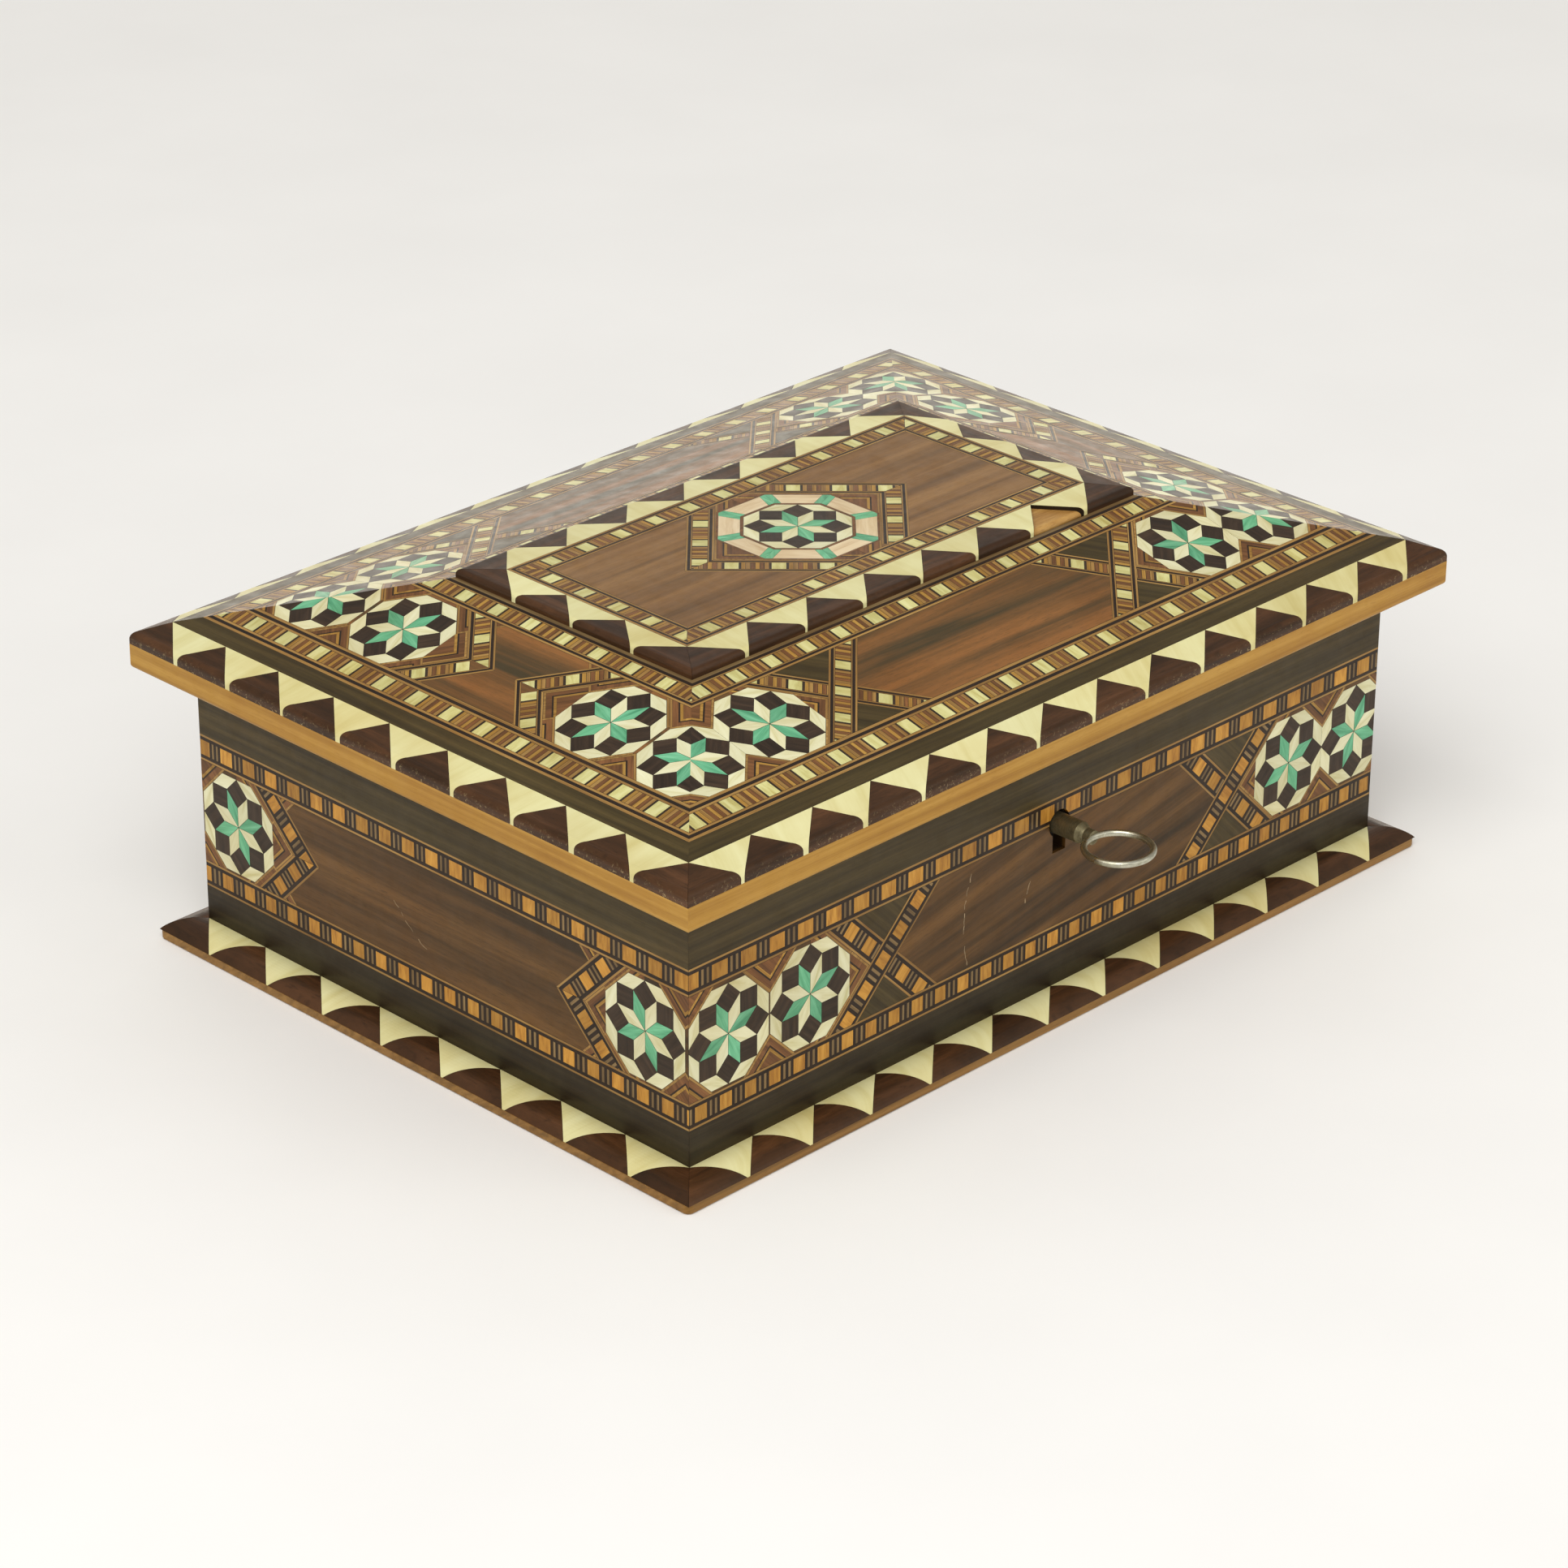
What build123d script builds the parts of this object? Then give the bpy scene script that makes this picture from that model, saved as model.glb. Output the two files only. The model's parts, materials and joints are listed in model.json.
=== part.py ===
from build123d import *
import os

# Inlaid wooden box with a hipped, hinged lid, a box lock and its key. Millimetres.
# X runs along the long side, the keyhole wall faces -Y, Z is up.
# The origin is the centre of the underside.

# ---- driving dimensions -------------------------------------------------------------------
LID_LENGTH = 175.0
LID_WIDTH = 127.4
BODY_LENGTH = 160.4
BODY_WIDTH = 112.4
BASE_LENGTH = 172.2
BASE_WIDTH = 124.0
BASE_CORNER_RADIUS = 1.2
BASE_EDGE_RADIUS = 0.4

BASE_EDGE_TOP = 1.6      # bare edge of the base board
BASE_TOP = 3.4           # the walls stand here
WALL_TOP = 48.6          # the closed lid rests here
LID_BOARD_TOP = 52.9     # bare edge of the lid
LID_RIM_TOP = 56.7       # inner edge of the rounded lid rim
SLOPE_TOP = 64.6         # the slopes end here, against the platform
PLATFORM_TOP = 66.4

LID_RIM_WIDTH = 5.0
PLATFORM_INSET = 36.9    # from the lid's edge to the platform's edge
PLATFORM_RIM_WIDTH = 6.4      # the platform's toothed rim, at its front and back
PLATFORM_SIDE_RIM_WIDTH = 5.1
LID_EDGE_WIDTH = 16.0    # the four mitred strips around the lid board

WALL_THICKNESS = 8.0
VENEER = 0.6
LINING = 0.8

HINGE_OFFSETS = (-48.0, 48.0)
HINGE_LENGTH = 18.0
HINGE_LEAF = 0.8
HINGE_LEAF_REACH = 7.6   # from the pin's axis to the leaf's free edge
KNUCKLE_RADIUS = 1.6
KNUCKLE_MIDDLE = 5.8     # length of the lid leaf's single knuckle
KNUCKLE_GAP = 0.2        # between one knuckle and the next
PIN_RADIUS = 0.7
PIN_AXIS_OUT = 1.8       # from the back wall's face to the pin's axis
HINGE_GAP = 0.3
HINGE_SCREW_SPACING = 11.0
HINGE_SCREW_INSET = 5.4  # from the pin's axis

KEY_X = 1.2
KEY_Z = 32.4
KEY_RADIUS = 1.8
KEY_BIT_REACH = 4.6
KEY_BIT_ROOT = 1.6       # the bit starts inside the barrel's wall
KEY_BIT_THICKNESS = 1.4
KEY_NECK_LENGTH = 1.4
KEY_SHOULDER_LENGTH = 1.2
BOW_RADIUS = 5.45        # centre line of the ring
BOW_WIRE_RADIUS = 0.55
BOW_CENTRE_OUT = 12.4    # from the wall's face to the ring's centre
BOLT_TRAVEL = 4.0

LOCK_LEFT = -7.2         # inside of the lock case
LOCK_RIGHT = 15.2
LOCK_BOTTOM = 25.3
LOCK_DEPTH = 4.0
CASE_SHEET = 0.6
LOCK_SHEET = 0.8
PLATE_MARGIN = 3.6       # the lock plate stands out past the case at each side
FIT = 0.05               # running clearance round the lock's own pin
LOCK_SCREW_MARGIN = 1.7
LOCK_SCREW_HEIGHTS = (27.0, 44.0)
KEEPER_LENGTH = 15.0
KEEPER_WIDTH = 5.6
KEEPER_SCREW_SPACING = 10.6
SPRING_WIDTH = 2.0
STAPLE_HOLE_MARGIN = 0.5
TONGUE_MARGIN = 0.3
CASE_HOLE_MARGIN = 0.3

SCREW_HEAD_RADIUS = 1.25
SCREW_RADIUS = 0.6
SCREW_HEAD_DEPTH = 0.7
SCREW_LENGTH = 3.6
SCREW_POINT = 1.0
SCREW_FIT = 0.02

# ---- derived places -----------------------------------------------------------------------
WALL_FACE_Y = BODY_WIDTH / 2
WALL_INSIDE_X = BODY_LENGTH / 2 - WALL_THICKNESS
WALL_INSIDE_Y = BODY_WIDTH / 2 - WALL_THICKNESS
CORE_LENGTH = BODY_LENGTH - 2 * VENEER
CORE_WIDTH = BODY_WIDTH - 2 * VENEER
PIN_Y = WALL_FACE_Y + PIN_AXIS_OUT
SLOPE_RUN = PLATFORM_INSET - LID_RIM_WIDTH
SLOPE_LENGTH = (SLOPE_RUN**2 + (SLOPE_TOP - LID_RIM_TOP) ** 2) ** 0.5
VENEER_DROP = VENEER * SLOPE_LENGTH / SLOPE_RUN    # the sloping veneer's upright thickness
PLATFORM_FLOOR = SLOPE_TOP - VENEER_DROP
PLATFORM_LENGTH = LID_LENGTH - 2 * PLATFORM_INSET
PLATFORM_WIDTH = LID_WIDTH - 2 * PLATFORM_INSET
PANEL_LENGTH = PLATFORM_LENGTH - 2 * PLATFORM_SIDE_RIM_WIDTH
PANEL_WIDTH = PLATFORM_WIDTH - 2 * PLATFORM_RIM_WIDTH

PLATE_BACK_Y = -WALL_INSIDE_Y                 # the lock plate is flush with the wall inside
PLATE_FRONT_Y = PLATE_BACK_Y - LOCK_SHEET
CASE_FRONT_Y = PLATE_FRONT_Y - LOCK_DEPTH - CASE_SHEET
LOCK_TOP = WALL_TOP - LOCK_SHEET
LOCK_CENTRE_X = (LOCK_LEFT + LOCK_RIGHT) / 2
CASE_LENGTH = LOCK_RIGHT - LOCK_LEFT + 2 * CASE_SHEET
PLATE_LENGTH = CASE_LENGTH + 2 * PLATE_MARGIN
PLATE_BOTTOM = LOCK_BOTTOM - 2.8
BOLT_MID_Y = PLATE_FRONT_Y - LOCK_DEPTH / 2
BOLT_THICKNESS = LOCK_DEPTH - 0.4
TONGUE_THICKNESS = 1.2
TONGUE_LOW = 41.2
TONGUE_HIGH = 43.6
TONGUE_TIP_X = 10.5
STAPLE_X = 11.9
STAPLE_THICKNESS = 1.4
STAPLE_WIDTH = 3.0
STAPLE_LOW = 40.0
BOLT_LEFT = -6.6
BOLT_RIGHT = 6.8
BOLT_LOW = LOCK_BOTTOM + 0.1
BOLT_HIGH = 44.0
WINDOW_LEFT = KEY_X - KEY_RADIUS - BOLT_TRAVEL - 0.5
WINDOW_RIGHT = KEY_X + KEY_RADIUS + 0.5
WINDOW_LOW = KEY_Z - 3.0
WINDOW_HIGH = 41.0
NOTCH_LEFT = KEY_X - 1.1        # the key's bit stands in this notch and pushes its side
NOTCH_RIGHT = KEY_X + 2.1
NOTCH_LOW = KEY_Z - 5.0
SPRING_LINE = ((-6.3, 47.5), (0.1, 44.35), (6.5, 47.5))
SPRING_THICKNESS = 0.3
PLATE_MID_Y = PLATE_BACK_Y - LOCK_SHEET / 2

HOLE_RADIUS = 2.4               # the keyhole in the wood
SLOT_WIDTH = 3.0
SLOT_REACH = 4.9
KEY_PIN_RADIUS = 0.75
KEY_PIN_HEAD_RADIUS = 1.2
KEY_PIN_HEAD = 0.35
KEY_PIN_COLLAR_RADIUS = 1.3
KEY_PIN_COLLAR = 0.5
KEY_PIN_TIP_Y = -WALL_FACE_Y + 1.6
KEY_HOLLOW_END_Y = KEY_PIN_TIP_Y - 0.4
KEY_TIP_Y = PLATE_FRONT_Y - 0.7
KEY_NECK_RADIUS = 1.2
BIT_LENGTH = 2.0
BIT_MID_Y = KEY_TIP_Y - 0.2 - BIT_LENGTH / 2
BOW_Y = -WALL_FACE_Y - BOW_CENTRE_OUT
BARREL_END_Y = BOW_Y + BOW_RADIUS - 0.25      # the bow is sunk into the barrel's end
KEY_SECTION = Plane(origin=(KEY_X, 0, KEY_Z), x_dir=(1, 0, 0), z_dir=(0, 0, 1))
KEY_AXIS = Axis((KEY_X, 0, KEY_Z), (0, 1, 0))

BASE_RIM_WIDTH = (BASE_WIDTH - BODY_WIDTH) / 2
BASE_RIM_LENGTH = BODY_LENGTH + 2 * BASE_RIM_WIDTH
BASE_RIM_SHOULDER = (1.3, 2.75)
LID_EDGE_ROUND = ((0.8, WALL_TOP), (0.235, WALL_TOP + 0.235), (0, WALL_TOP + 0.8))
LID_RIM_ROUND = ((0, LID_BOARD_TOP + 0.8), (0.35, LID_BOARD_TOP + 1.75), (1.2, LID_BOARD_TOP + 2.25))
PLATFORM_RIM_ROUND = (
    (0, PLATFORM_TOP - 1.15), (0.25, PLATFORM_TOP - 0.58), (0.9, PLATFORM_TOP - 0.3)
)
LINING_FLOOR = BASE_TOP + LINING
LINING_TOP = WALL_TOP - 0.4
LINING_WINDOW_GAP = 0.9

SIDES = {
    "front": (Vector(0, -1, 0), Vector(1, 0, 0)),
    "back": (Vector(0, 1, 0), Vector(1, 0, 0)),
    "left": (Vector(-1, 0, 0), Vector(0, 1, 0)),
    "right": (Vector(1, 0, 0), Vector(0, 1, 0)),
}
LONG_SIDES = ("front", "back")


def half_sizes(side, length, width):
    """Half the rectangle's size along the side, and from its centre out to the side."""
    if side in LONG_SIDES:
        return length / 2, width / 2
    return width / 2, length / 2


def section_plane(side):
    """Upright plane across a side strip: its X points out of the box, its Y points up."""
    out = SIDES[side][0]
    return Plane(origin=(0, 0, 0), x_dir=out, z_dir=out.cross(Vector(0, 0, 1)))


def mitre_planes(side, length, width, own_width, next_width):
    """The two upright planes that end a side strip, from the rectangle's corners inwards."""
    out, along = SIDES[side]
    half_along, half_out = half_sizes(side, length, width)
    planes = []
    for end in (-1, 1):
        corner = along * end * half_along + out * half_out
        planes.append(Plane(origin=corner, z_dir=along * end * own_width - out * next_width))
    return planes


def mitred_strip(side, length, width, corners, round_over=None, strip_widths=(1, 1)):
    """A strip along one side of a length x width rectangle, mitred at both ends.

    corners are (inset from the rectangle's side, height) pairs of the section, in order.
    round_over = (start, middle, end) puts an arc between two of the corners.
    strip_widths are this strip's width and its neighbours', or anything in that ratio.
    """
    half_along, half_out = half_sizes(side, length, width)
    overrun = 1.0
    with BuildPart() as strip:
        with BuildSketch(section_plane(side)):
            with BuildLine():
                points = [(half_out - inset, height) for inset, height in corners]
                if round_over is None:
                    Polyline(*points, close=True)
                else:
                    arc = [(half_out - inset, height) for inset, height in round_over]
                    Polyline(arc[2], *points, arc[0])
                    ThreePointArc(*arc)
            make_face()
        extrude(amount=half_along + overrun, both=True)
        for plane in mitre_planes(side, length, width, *strip_widths):
            split(bisect_by=plane, keep=Keep.BOTTOM)
    return strip.part


def rectangle(outer_inset, inner_inset, low, high):
    """The corners of a plain strip section, from its lower outer corner round."""
    return [(outer_inset, low), (outer_inset, high), (inner_inset, high), (inner_inset, low)]


def corner_points(left, right, low, high):
    return [(left, low), (right, low), (right, high), (left, high)]


def keyhole(radius, slot_width, slot_reach):
    """A round hole with a slot below it, right through the front of the box."""
    with BuildPart() as hole:
        with BuildSketch(Plane.XZ.offset(-PLATE_FRONT_Y + 0.2)):
            with Locations((KEY_X, KEY_Z)):
                Circle(radius)
            with Locations((KEY_X, KEY_Z - slot_reach / 2)):
                Rectangle(slot_width, slot_reach)
        extrude(amount=WALL_THICKNESS)
    return hole.part


def lock_recess():
    """What is cut out of the front wall for the lock plate, its top flange and the case."""
    flange_depth = PLATE_BACK_Y - CASE_FRONT_Y
    case_height = LOCK_TOP - LOCK_BOTTOM + CASE_SHEET
    with BuildPart() as recess:
        with Locations((LOCK_CENTRE_X, PLATE_MID_Y, (PLATE_BOTTOM + WALL_TOP) / 2)):
            Box(PLATE_LENGTH, LOCK_SHEET, WALL_TOP - PLATE_BOTTOM)
        with Locations((LOCK_CENTRE_X, PLATE_BACK_Y - flange_depth / 2, LOCK_TOP + LOCK_SHEET / 2)):
            Box(PLATE_LENGTH, flange_depth, LOCK_SHEET)
        with Locations((LOCK_CENTRE_X, PLATE_BACK_Y - flange_depth / 2, LOCK_TOP - case_height / 2)):
            Box(CASE_LENGTH, flange_depth, case_height)
    return recess.part


def leaf_recesses(low, high):
    """The shallow beds of the two hinge leaves, open to the back."""
    reach = HINGE_LEAF_REACH + KNUCKLE_RADIUS
    with BuildPart() as beds:
        for x in HINGE_OFFSETS:
            with Locations((x, PIN_Y - HINGE_LEAF_REACH + reach / 2, (low + high) / 2)):
                Box(HINGE_LENGTH, reach, high - low)
    return beds.part


def slab(length, width, low, high):
    """A plain rectangular piece between two heights."""
    with BuildPart() as piece:
        with Locations((0, 0, (low + high) / 2)):
            Box(length, width, high - low)
    return piece.part


def save(part, name):
    part.label = name
    export_step(part, f"parts/{name}.step")


def screw(clearance=0.0):
    """A small countersunk screw, head at the origin, pointing down."""
    with BuildPart() as one:
        with BuildSketch(Plane.XZ):
            with BuildLine():
                Polyline(
                    (0, 0),
                    (SCREW_HEAD_RADIUS + clearance, 0),
                    (SCREW_RADIUS + clearance, -SCREW_HEAD_DEPTH),
                    (SCREW_RADIUS + clearance, -SCREW_LENGTH + SCREW_POINT),
                    (0, -SCREW_LENGTH - clearance),
                    close=True,
                )
            make_face()
        revolve(axis=Axis.Z)
    return one.part


os.makedirs("parts", exist_ok=True)

# ---- where the screws stand ---------------------------------------------------------------
HINGE_SCREW_Y = PIN_Y - HINGE_SCREW_INSET
hinge_screw_xs = [x + side * HINGE_SCREW_SPACING / 2 for x in HINGE_OFFSETS for side in (-1, 1)]
box_leaf_screws = [Location((x, HINGE_SCREW_Y, WALL_TOP)) for x in hinge_screw_xs]
lid_leaf_screws = [Location((x, HINGE_SCREW_Y, WALL_TOP), (180, 0, 0)) for x in hinge_screw_xs]
lock_screw_offset = PLATE_LENGTH / 2 - LOCK_SCREW_MARGIN
lock_screw_places = [
    Location((LOCK_CENTRE_X + side * lock_screw_offset, PLATE_BACK_Y, z), (-90, 0, 0))
    for side in (-1, 1)
    for z in LOCK_SCREW_HEIGHTS
]
keeper_screw_places = [
    Location((STAPLE_X + side * KEEPER_SCREW_SPACING / 2, BOLT_MID_Y, WALL_TOP), (180, 0, 0))
    for side in (-1, 1)
]
one_screw = screw()
screw_hole = screw(clearance=SCREW_FIT)

# ---- base ---------------------------------------------------------------------------------
base_plate = slab(BASE_LENGTH, BASE_WIDTH, 0, BASE_EDGE_TOP)
base_step = slab(BODY_LENGTH, BODY_WIDTH, BASE_EDGE_TOP, BASE_TOP)

with BuildPart() as base_board:
    add(base_plate)
    fillet(base_board.edges().filter_by(Axis.Z), radius=BASE_CORNER_RADIUS)
    fillet(base_board.edges().group_by(Axis.Z)[0], radius=BASE_EDGE_RADIUS)
    add(base_step)
save(base_board.part, "base_board")

for side in SIDES:
    base_rim = mitred_strip(
        side, BASE_RIM_LENGTH, BASE_WIDTH,
        corners=[(BASE_RIM_WIDTH, BASE_EDGE_TOP)],
        round_over=((0, BASE_EDGE_TOP), BASE_RIM_SHOULDER, (BASE_RIM_WIDTH, BASE_TOP)),
    )
    save(base_rim, f"base_rim_{side}")

# ---- walls --------------------------------------------------------------------------------
lock_bed = lock_recess()
wall_keyhole = keyhole(HOLE_RADIUS, SLOT_WIDTH, SLOT_REACH)
box_leaf_beds = leaf_recesses(WALL_TOP - HINGE_LEAF, WALL_TOP)

for side in SIDES:
    wall_strip = mitred_strip(
        side, CORE_LENGTH, CORE_WIDTH,
        corners=rectangle(0, WALL_THICKNESS - VENEER, BASE_TOP, WALL_TOP),
    )
    with BuildPart() as wall:
        add(wall_strip)
        if side == "front":
            add(lock_bed, mode=Mode.SUBTRACT)
            add(wall_keyhole, mode=Mode.SUBTRACT)
            with Locations(lock_screw_places):
                add(screw_hole, mode=Mode.SUBTRACT)
        if side == "back":
            add(box_leaf_beds, mode=Mode.SUBTRACT)
            with Locations(box_leaf_screws):
                add(screw_hole, mode=Mode.SUBTRACT)
    save(wall.part, f"wall_{side}")

    veneer_strip = mitred_strip(
        side, BODY_LENGTH, BODY_WIDTH,
        corners=rectangle(0, VENEER, BASE_TOP, WALL_TOP),
    )
    with BuildPart() as wall_veneer:
        add(veneer_strip)
        if side == "front":
            add(wall_keyhole, mode=Mode.SUBTRACT)
        if side == "back":
            add(box_leaf_beds, mode=Mode.SUBTRACT)
    save(wall_veneer.part, f"wall_marquetry_{side}")

# ---- felt lining of the box ---------------------------------------------------------------
save(slab(2 * WALL_INSIDE_X, 2 * WALL_INSIDE_Y, BASE_TOP, LINING_FLOOR), "lining_floor")

for side in SIDES:
    lining_strip = mitred_strip(
        side, 2 * WALL_INSIDE_X, 2 * WALL_INSIDE_Y,
        corners=rectangle(0, LINING, LINING_FLOOR, LINING_TOP),
    )
    with BuildPart() as lining:
        add(lining_strip)
        if side == "front":
            window_height = WALL_TOP - PLATE_BOTTOM + LINING_WINDOW_GAP
            with Locations((LOCK_CENTRE_X, PLATE_BACK_Y, WALL_TOP - window_height / 2)):
                Box(
                    PLATE_LENGTH + 2 * LINING_WINDOW_GAP, 4 * LINING, window_height,
                    mode=Mode.SUBTRACT,
                )
    save(lining.part, f"lining_{side}")

# ---- lid ----------------------------------------------------------------------------------
lid_panel = slab(
    LID_LENGTH - 2 * LID_EDGE_WIDTH, LID_WIDTH - 2 * LID_EDGE_WIDTH, WALL_TOP, LID_BOARD_TOP
)
save(lid_panel, "lid_panel")

lid_leaf_beds = leaf_recesses(WALL_TOP, WALL_TOP + HINGE_LEAF)

for side in SIDES:
    edge_strip = mitred_strip(
        side, LID_LENGTH, LID_WIDTH,
        corners=rectangle(0, LID_EDGE_WIDTH, WALL_TOP, LID_BOARD_TOP)[1:],
        round_over=LID_EDGE_ROUND,
    )
    with BuildPart() as lid_edge:
        add(edge_strip)
        if side == "front":
            with Locations((STAPLE_X, BOLT_MID_Y, WALL_TOP + LOCK_SHEET / 2)):
                Box(KEEPER_LENGTH, KEEPER_WIDTH, LOCK_SHEET, mode=Mode.SUBTRACT)
            with Locations(keeper_screw_places):
                add(screw_hole, mode=Mode.SUBTRACT)
        if side == "back":
            add(lid_leaf_beds, mode=Mode.SUBTRACT)
            for x in HINGE_OFFSETS:
                with Locations(Location((x, PIN_Y, WALL_TOP), (0, 90, 0))):
                    Cylinder(
                        KNUCKLE_RADIUS + HINGE_GAP, HINGE_LENGTH + 2 * HINGE_GAP,
                        mode=Mode.SUBTRACT,
                    )
            with Locations(lid_leaf_screws):
                add(screw_hole, mode=Mode.SUBTRACT)
    save(lid_edge.part, f"lid_edge_{side}")

    lid_rim = mitred_strip(
        side, LID_LENGTH, LID_WIDTH,
        corners=[
            (LID_RIM_WIDTH, LID_RIM_TOP), (LID_RIM_WIDTH, LID_BOARD_TOP), (0, LID_BOARD_TOP)
        ],
        round_over=LID_RIM_ROUND,
    )
    save(lid_rim, f"lid_rim_{side}")

    slope = mitred_strip(
        side, LID_LENGTH, LID_WIDTH,
        corners=[
            (LID_RIM_WIDTH, LID_RIM_TOP), (PLATFORM_INSET, SLOPE_TOP),
            (PLATFORM_INSET, PLATFORM_FLOOR), (LID_RIM_WIDTH, LID_RIM_TOP - VENEER_DROP),
        ],
    )
    save(slope, f"lid_marquetry_{side}")

    strip_widths = (PLATFORM_RIM_WIDTH, PLATFORM_SIDE_RIM_WIDTH)
    if side not in LONG_SIDES:
        strip_widths = strip_widths[::-1]
    platform_rim = mitred_strip(
        side, PLATFORM_LENGTH, PLATFORM_WIDTH,
        corners=[
            (strip_widths[0], PLATFORM_TOP), (strip_widths[0], PLATFORM_FLOOR),
            (0, PLATFORM_FLOOR),
        ],
        round_over=PLATFORM_RIM_ROUND,
        strip_widths=strip_widths,
    )
    save(platform_rim, f"platform_rim_{side}")

foot_length = LID_LENGTH - 2 * LID_RIM_WIDTH
foot_width = LID_WIDTH - 2 * LID_RIM_WIDTH
slope_foot = LID_RIM_TOP - VENEER_DROP
core_foot = slab(foot_length, foot_width, LID_BOARD_TOP, slope_foot)

with BuildPart() as lid_core:
    add(core_foot)
    with BuildSketch(Plane.XY.offset(slope_foot)):
        Rectangle(foot_length, foot_width)
    with BuildSketch(Plane.XY.offset(PLATFORM_FLOOR)):
        Rectangle(PLATFORM_LENGTH, PLATFORM_WIDTH)
    loft()
save(lid_core.part, "lid_core")

veneer_floor = PLATFORM_TOP - VENEER
save(slab(PANEL_LENGTH, PANEL_WIDTH, PLATFORM_FLOOR, veneer_floor), "platform_board")
save(slab(PANEL_LENGTH, PANEL_WIDTH, veneer_floor, PLATFORM_TOP), "platform_marquetry")

lid_lining_inset = LINING + LINING_WINDOW_GAP
lid_lining = slab(
    2 * (WALL_INSIDE_X - lid_lining_inset), 2 * (WALL_INSIDE_Y - lid_lining_inset),
    WALL_TOP - LINING, WALL_TOP,
)
save(lid_lining, "lining_lid")

# ---- hinges -------------------------------------------------------------------------------
knuckle_end = (HINGE_LENGTH - KNUCKLE_MIDDLE) / 2 - KNUCKLE_GAP    # length of a box knuckle
knuckle_end_offset = (HINGE_LENGTH - knuckle_end) / 2
leaf_clear_y = PIN_Y - KNUCKLE_RADIUS - HINGE_GAP            # a leaf stops here beside a knuckle
gap_depth = KNUCKLE_RADIUS + 2 * HINGE_GAP
gap_y = leaf_clear_y + gap_depth / 2
gap_height = 4 * HINGE_LEAF

for name, x in zip(("left", "right"), HINGE_OFFSETS):
    end_places = [Location((x + dx, PIN_Y, WALL_TOP), (0, 90, 0))
                  for dx in (-knuckle_end_offset, knuckle_end_offset)]
    box_screws_here = [p for p in box_leaf_screws if abs(p.position.X - x) < HINGE_LENGTH / 2]
    lid_screws_here = [p for p in lid_leaf_screws if abs(p.position.X - x) < HINGE_LENGTH / 2]

    with BuildPart() as box_leaf:
        with Locations((x, PIN_Y - HINGE_LEAF_REACH / 2, WALL_TOP - HINGE_LEAF / 2)):
            Box(HINGE_LENGTH, HINGE_LEAF_REACH, HINGE_LEAF)
        with Locations((x, gap_y, WALL_TOP)):
            Box(KNUCKLE_MIDDLE + 2 * KNUCKLE_GAP, gap_depth, gap_height, mode=Mode.SUBTRACT)
        with Locations(end_places):
            Cylinder(KNUCKLE_RADIUS, knuckle_end)
        with Locations(end_places):
            Cylinder(PIN_RADIUS + FIT, knuckle_end, mode=Mode.SUBTRACT)
        with Locations(box_screws_here):
            add(screw_hole, mode=Mode.SUBTRACT)
    save(box_leaf.part, f"hinge_leaf_box_{name}")

    with BuildPart() as lid_leaf:
        with Locations((x, PIN_Y - HINGE_LEAF_REACH / 2, WALL_TOP + HINGE_LEAF / 2)):
            Box(HINGE_LENGTH, HINGE_LEAF_REACH, HINGE_LEAF)
        with Locations([(place.position.X, gap_y, WALL_TOP) for place in end_places]):
            Box(knuckle_end + 2 * KNUCKLE_GAP, gap_depth, gap_height, mode=Mode.SUBTRACT)
        with Locations(Location((x, PIN_Y, WALL_TOP), (0, 90, 0))):
            Cylinder(KNUCKLE_RADIUS, KNUCKLE_MIDDLE)
            Cylinder(PIN_RADIUS + FIT, KNUCKLE_MIDDLE, mode=Mode.SUBTRACT)
        with Locations(lid_screws_here):
            add(screw_hole, mode=Mode.SUBTRACT)
    save(lid_leaf.part, f"hinge_leaf_lid_{name}")

    with BuildPart() as hinge_pin:
        with Locations(Location((x, PIN_Y, WALL_TOP), (0, 90, 0))):
            Cylinder(PIN_RADIUS, HINGE_LENGTH)
    save(hinge_pin.part, f"hinge_pin_{name}")

# ---- screws -------------------------------------------------------------------------------
screw_groups = {
    "hinge_screws_box": box_leaf_screws,
    "hinge_screws_lid": lid_leaf_screws,
    "lock_screws": lock_screw_places,
    "keeper_screws": keeper_screw_places,
}
for name, places in screw_groups.items():
    with BuildPart() as screws:
        with Locations(places):
            add(one_screw)
    save(screws.part, name)

# ---- lock ---------------------------------------------------------------------------------
case_keyhole = keyhole(
    KEY_RADIUS + CASE_HOLE_MARGIN, KEY_BIT_THICKNESS + 2 * CASE_HOLE_MARGIN,
    KEY_BIT_REACH + 2 * CASE_HOLE_MARGIN,
)

with BuildPart() as lock_plate:
    with Locations((LOCK_CENTRE_X, PLATE_MID_Y, (PLATE_BOTTOM + WALL_TOP) / 2)):
        Box(PLATE_LENGTH, LOCK_SHEET, WALL_TOP - PLATE_BOTTOM)
    with Locations((LOCK_CENTRE_X, (CASE_FRONT_Y + PLATE_FRONT_Y) / 2, LOCK_TOP + LOCK_SHEET / 2)):
        Box(PLATE_LENGTH, PLATE_FRONT_Y - CASE_FRONT_Y, LOCK_SHEET)
    with Locations((STAPLE_X, BOLT_MID_Y, LOCK_TOP)):
        Box(
            STAPLE_THICKNESS + 2 * STAPLE_HOLE_MARGIN, STAPLE_WIDTH + 2 * STAPLE_HOLE_MARGIN,
            4 * LOCK_SHEET, mode=Mode.SUBTRACT,
        )
    with Locations(Location((KEY_X, PLATE_MID_Y, KEY_Z), (90, 0, 0))):
        Cylinder(KEY_PIN_RADIUS + FIT, 2 * LOCK_SHEET, mode=Mode.SUBTRACT)
    with Locations(lock_screw_places):
        add(screw_hole, mode=Mode.SUBTRACT)
save(lock_plate.part, "lock_plate")

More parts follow.
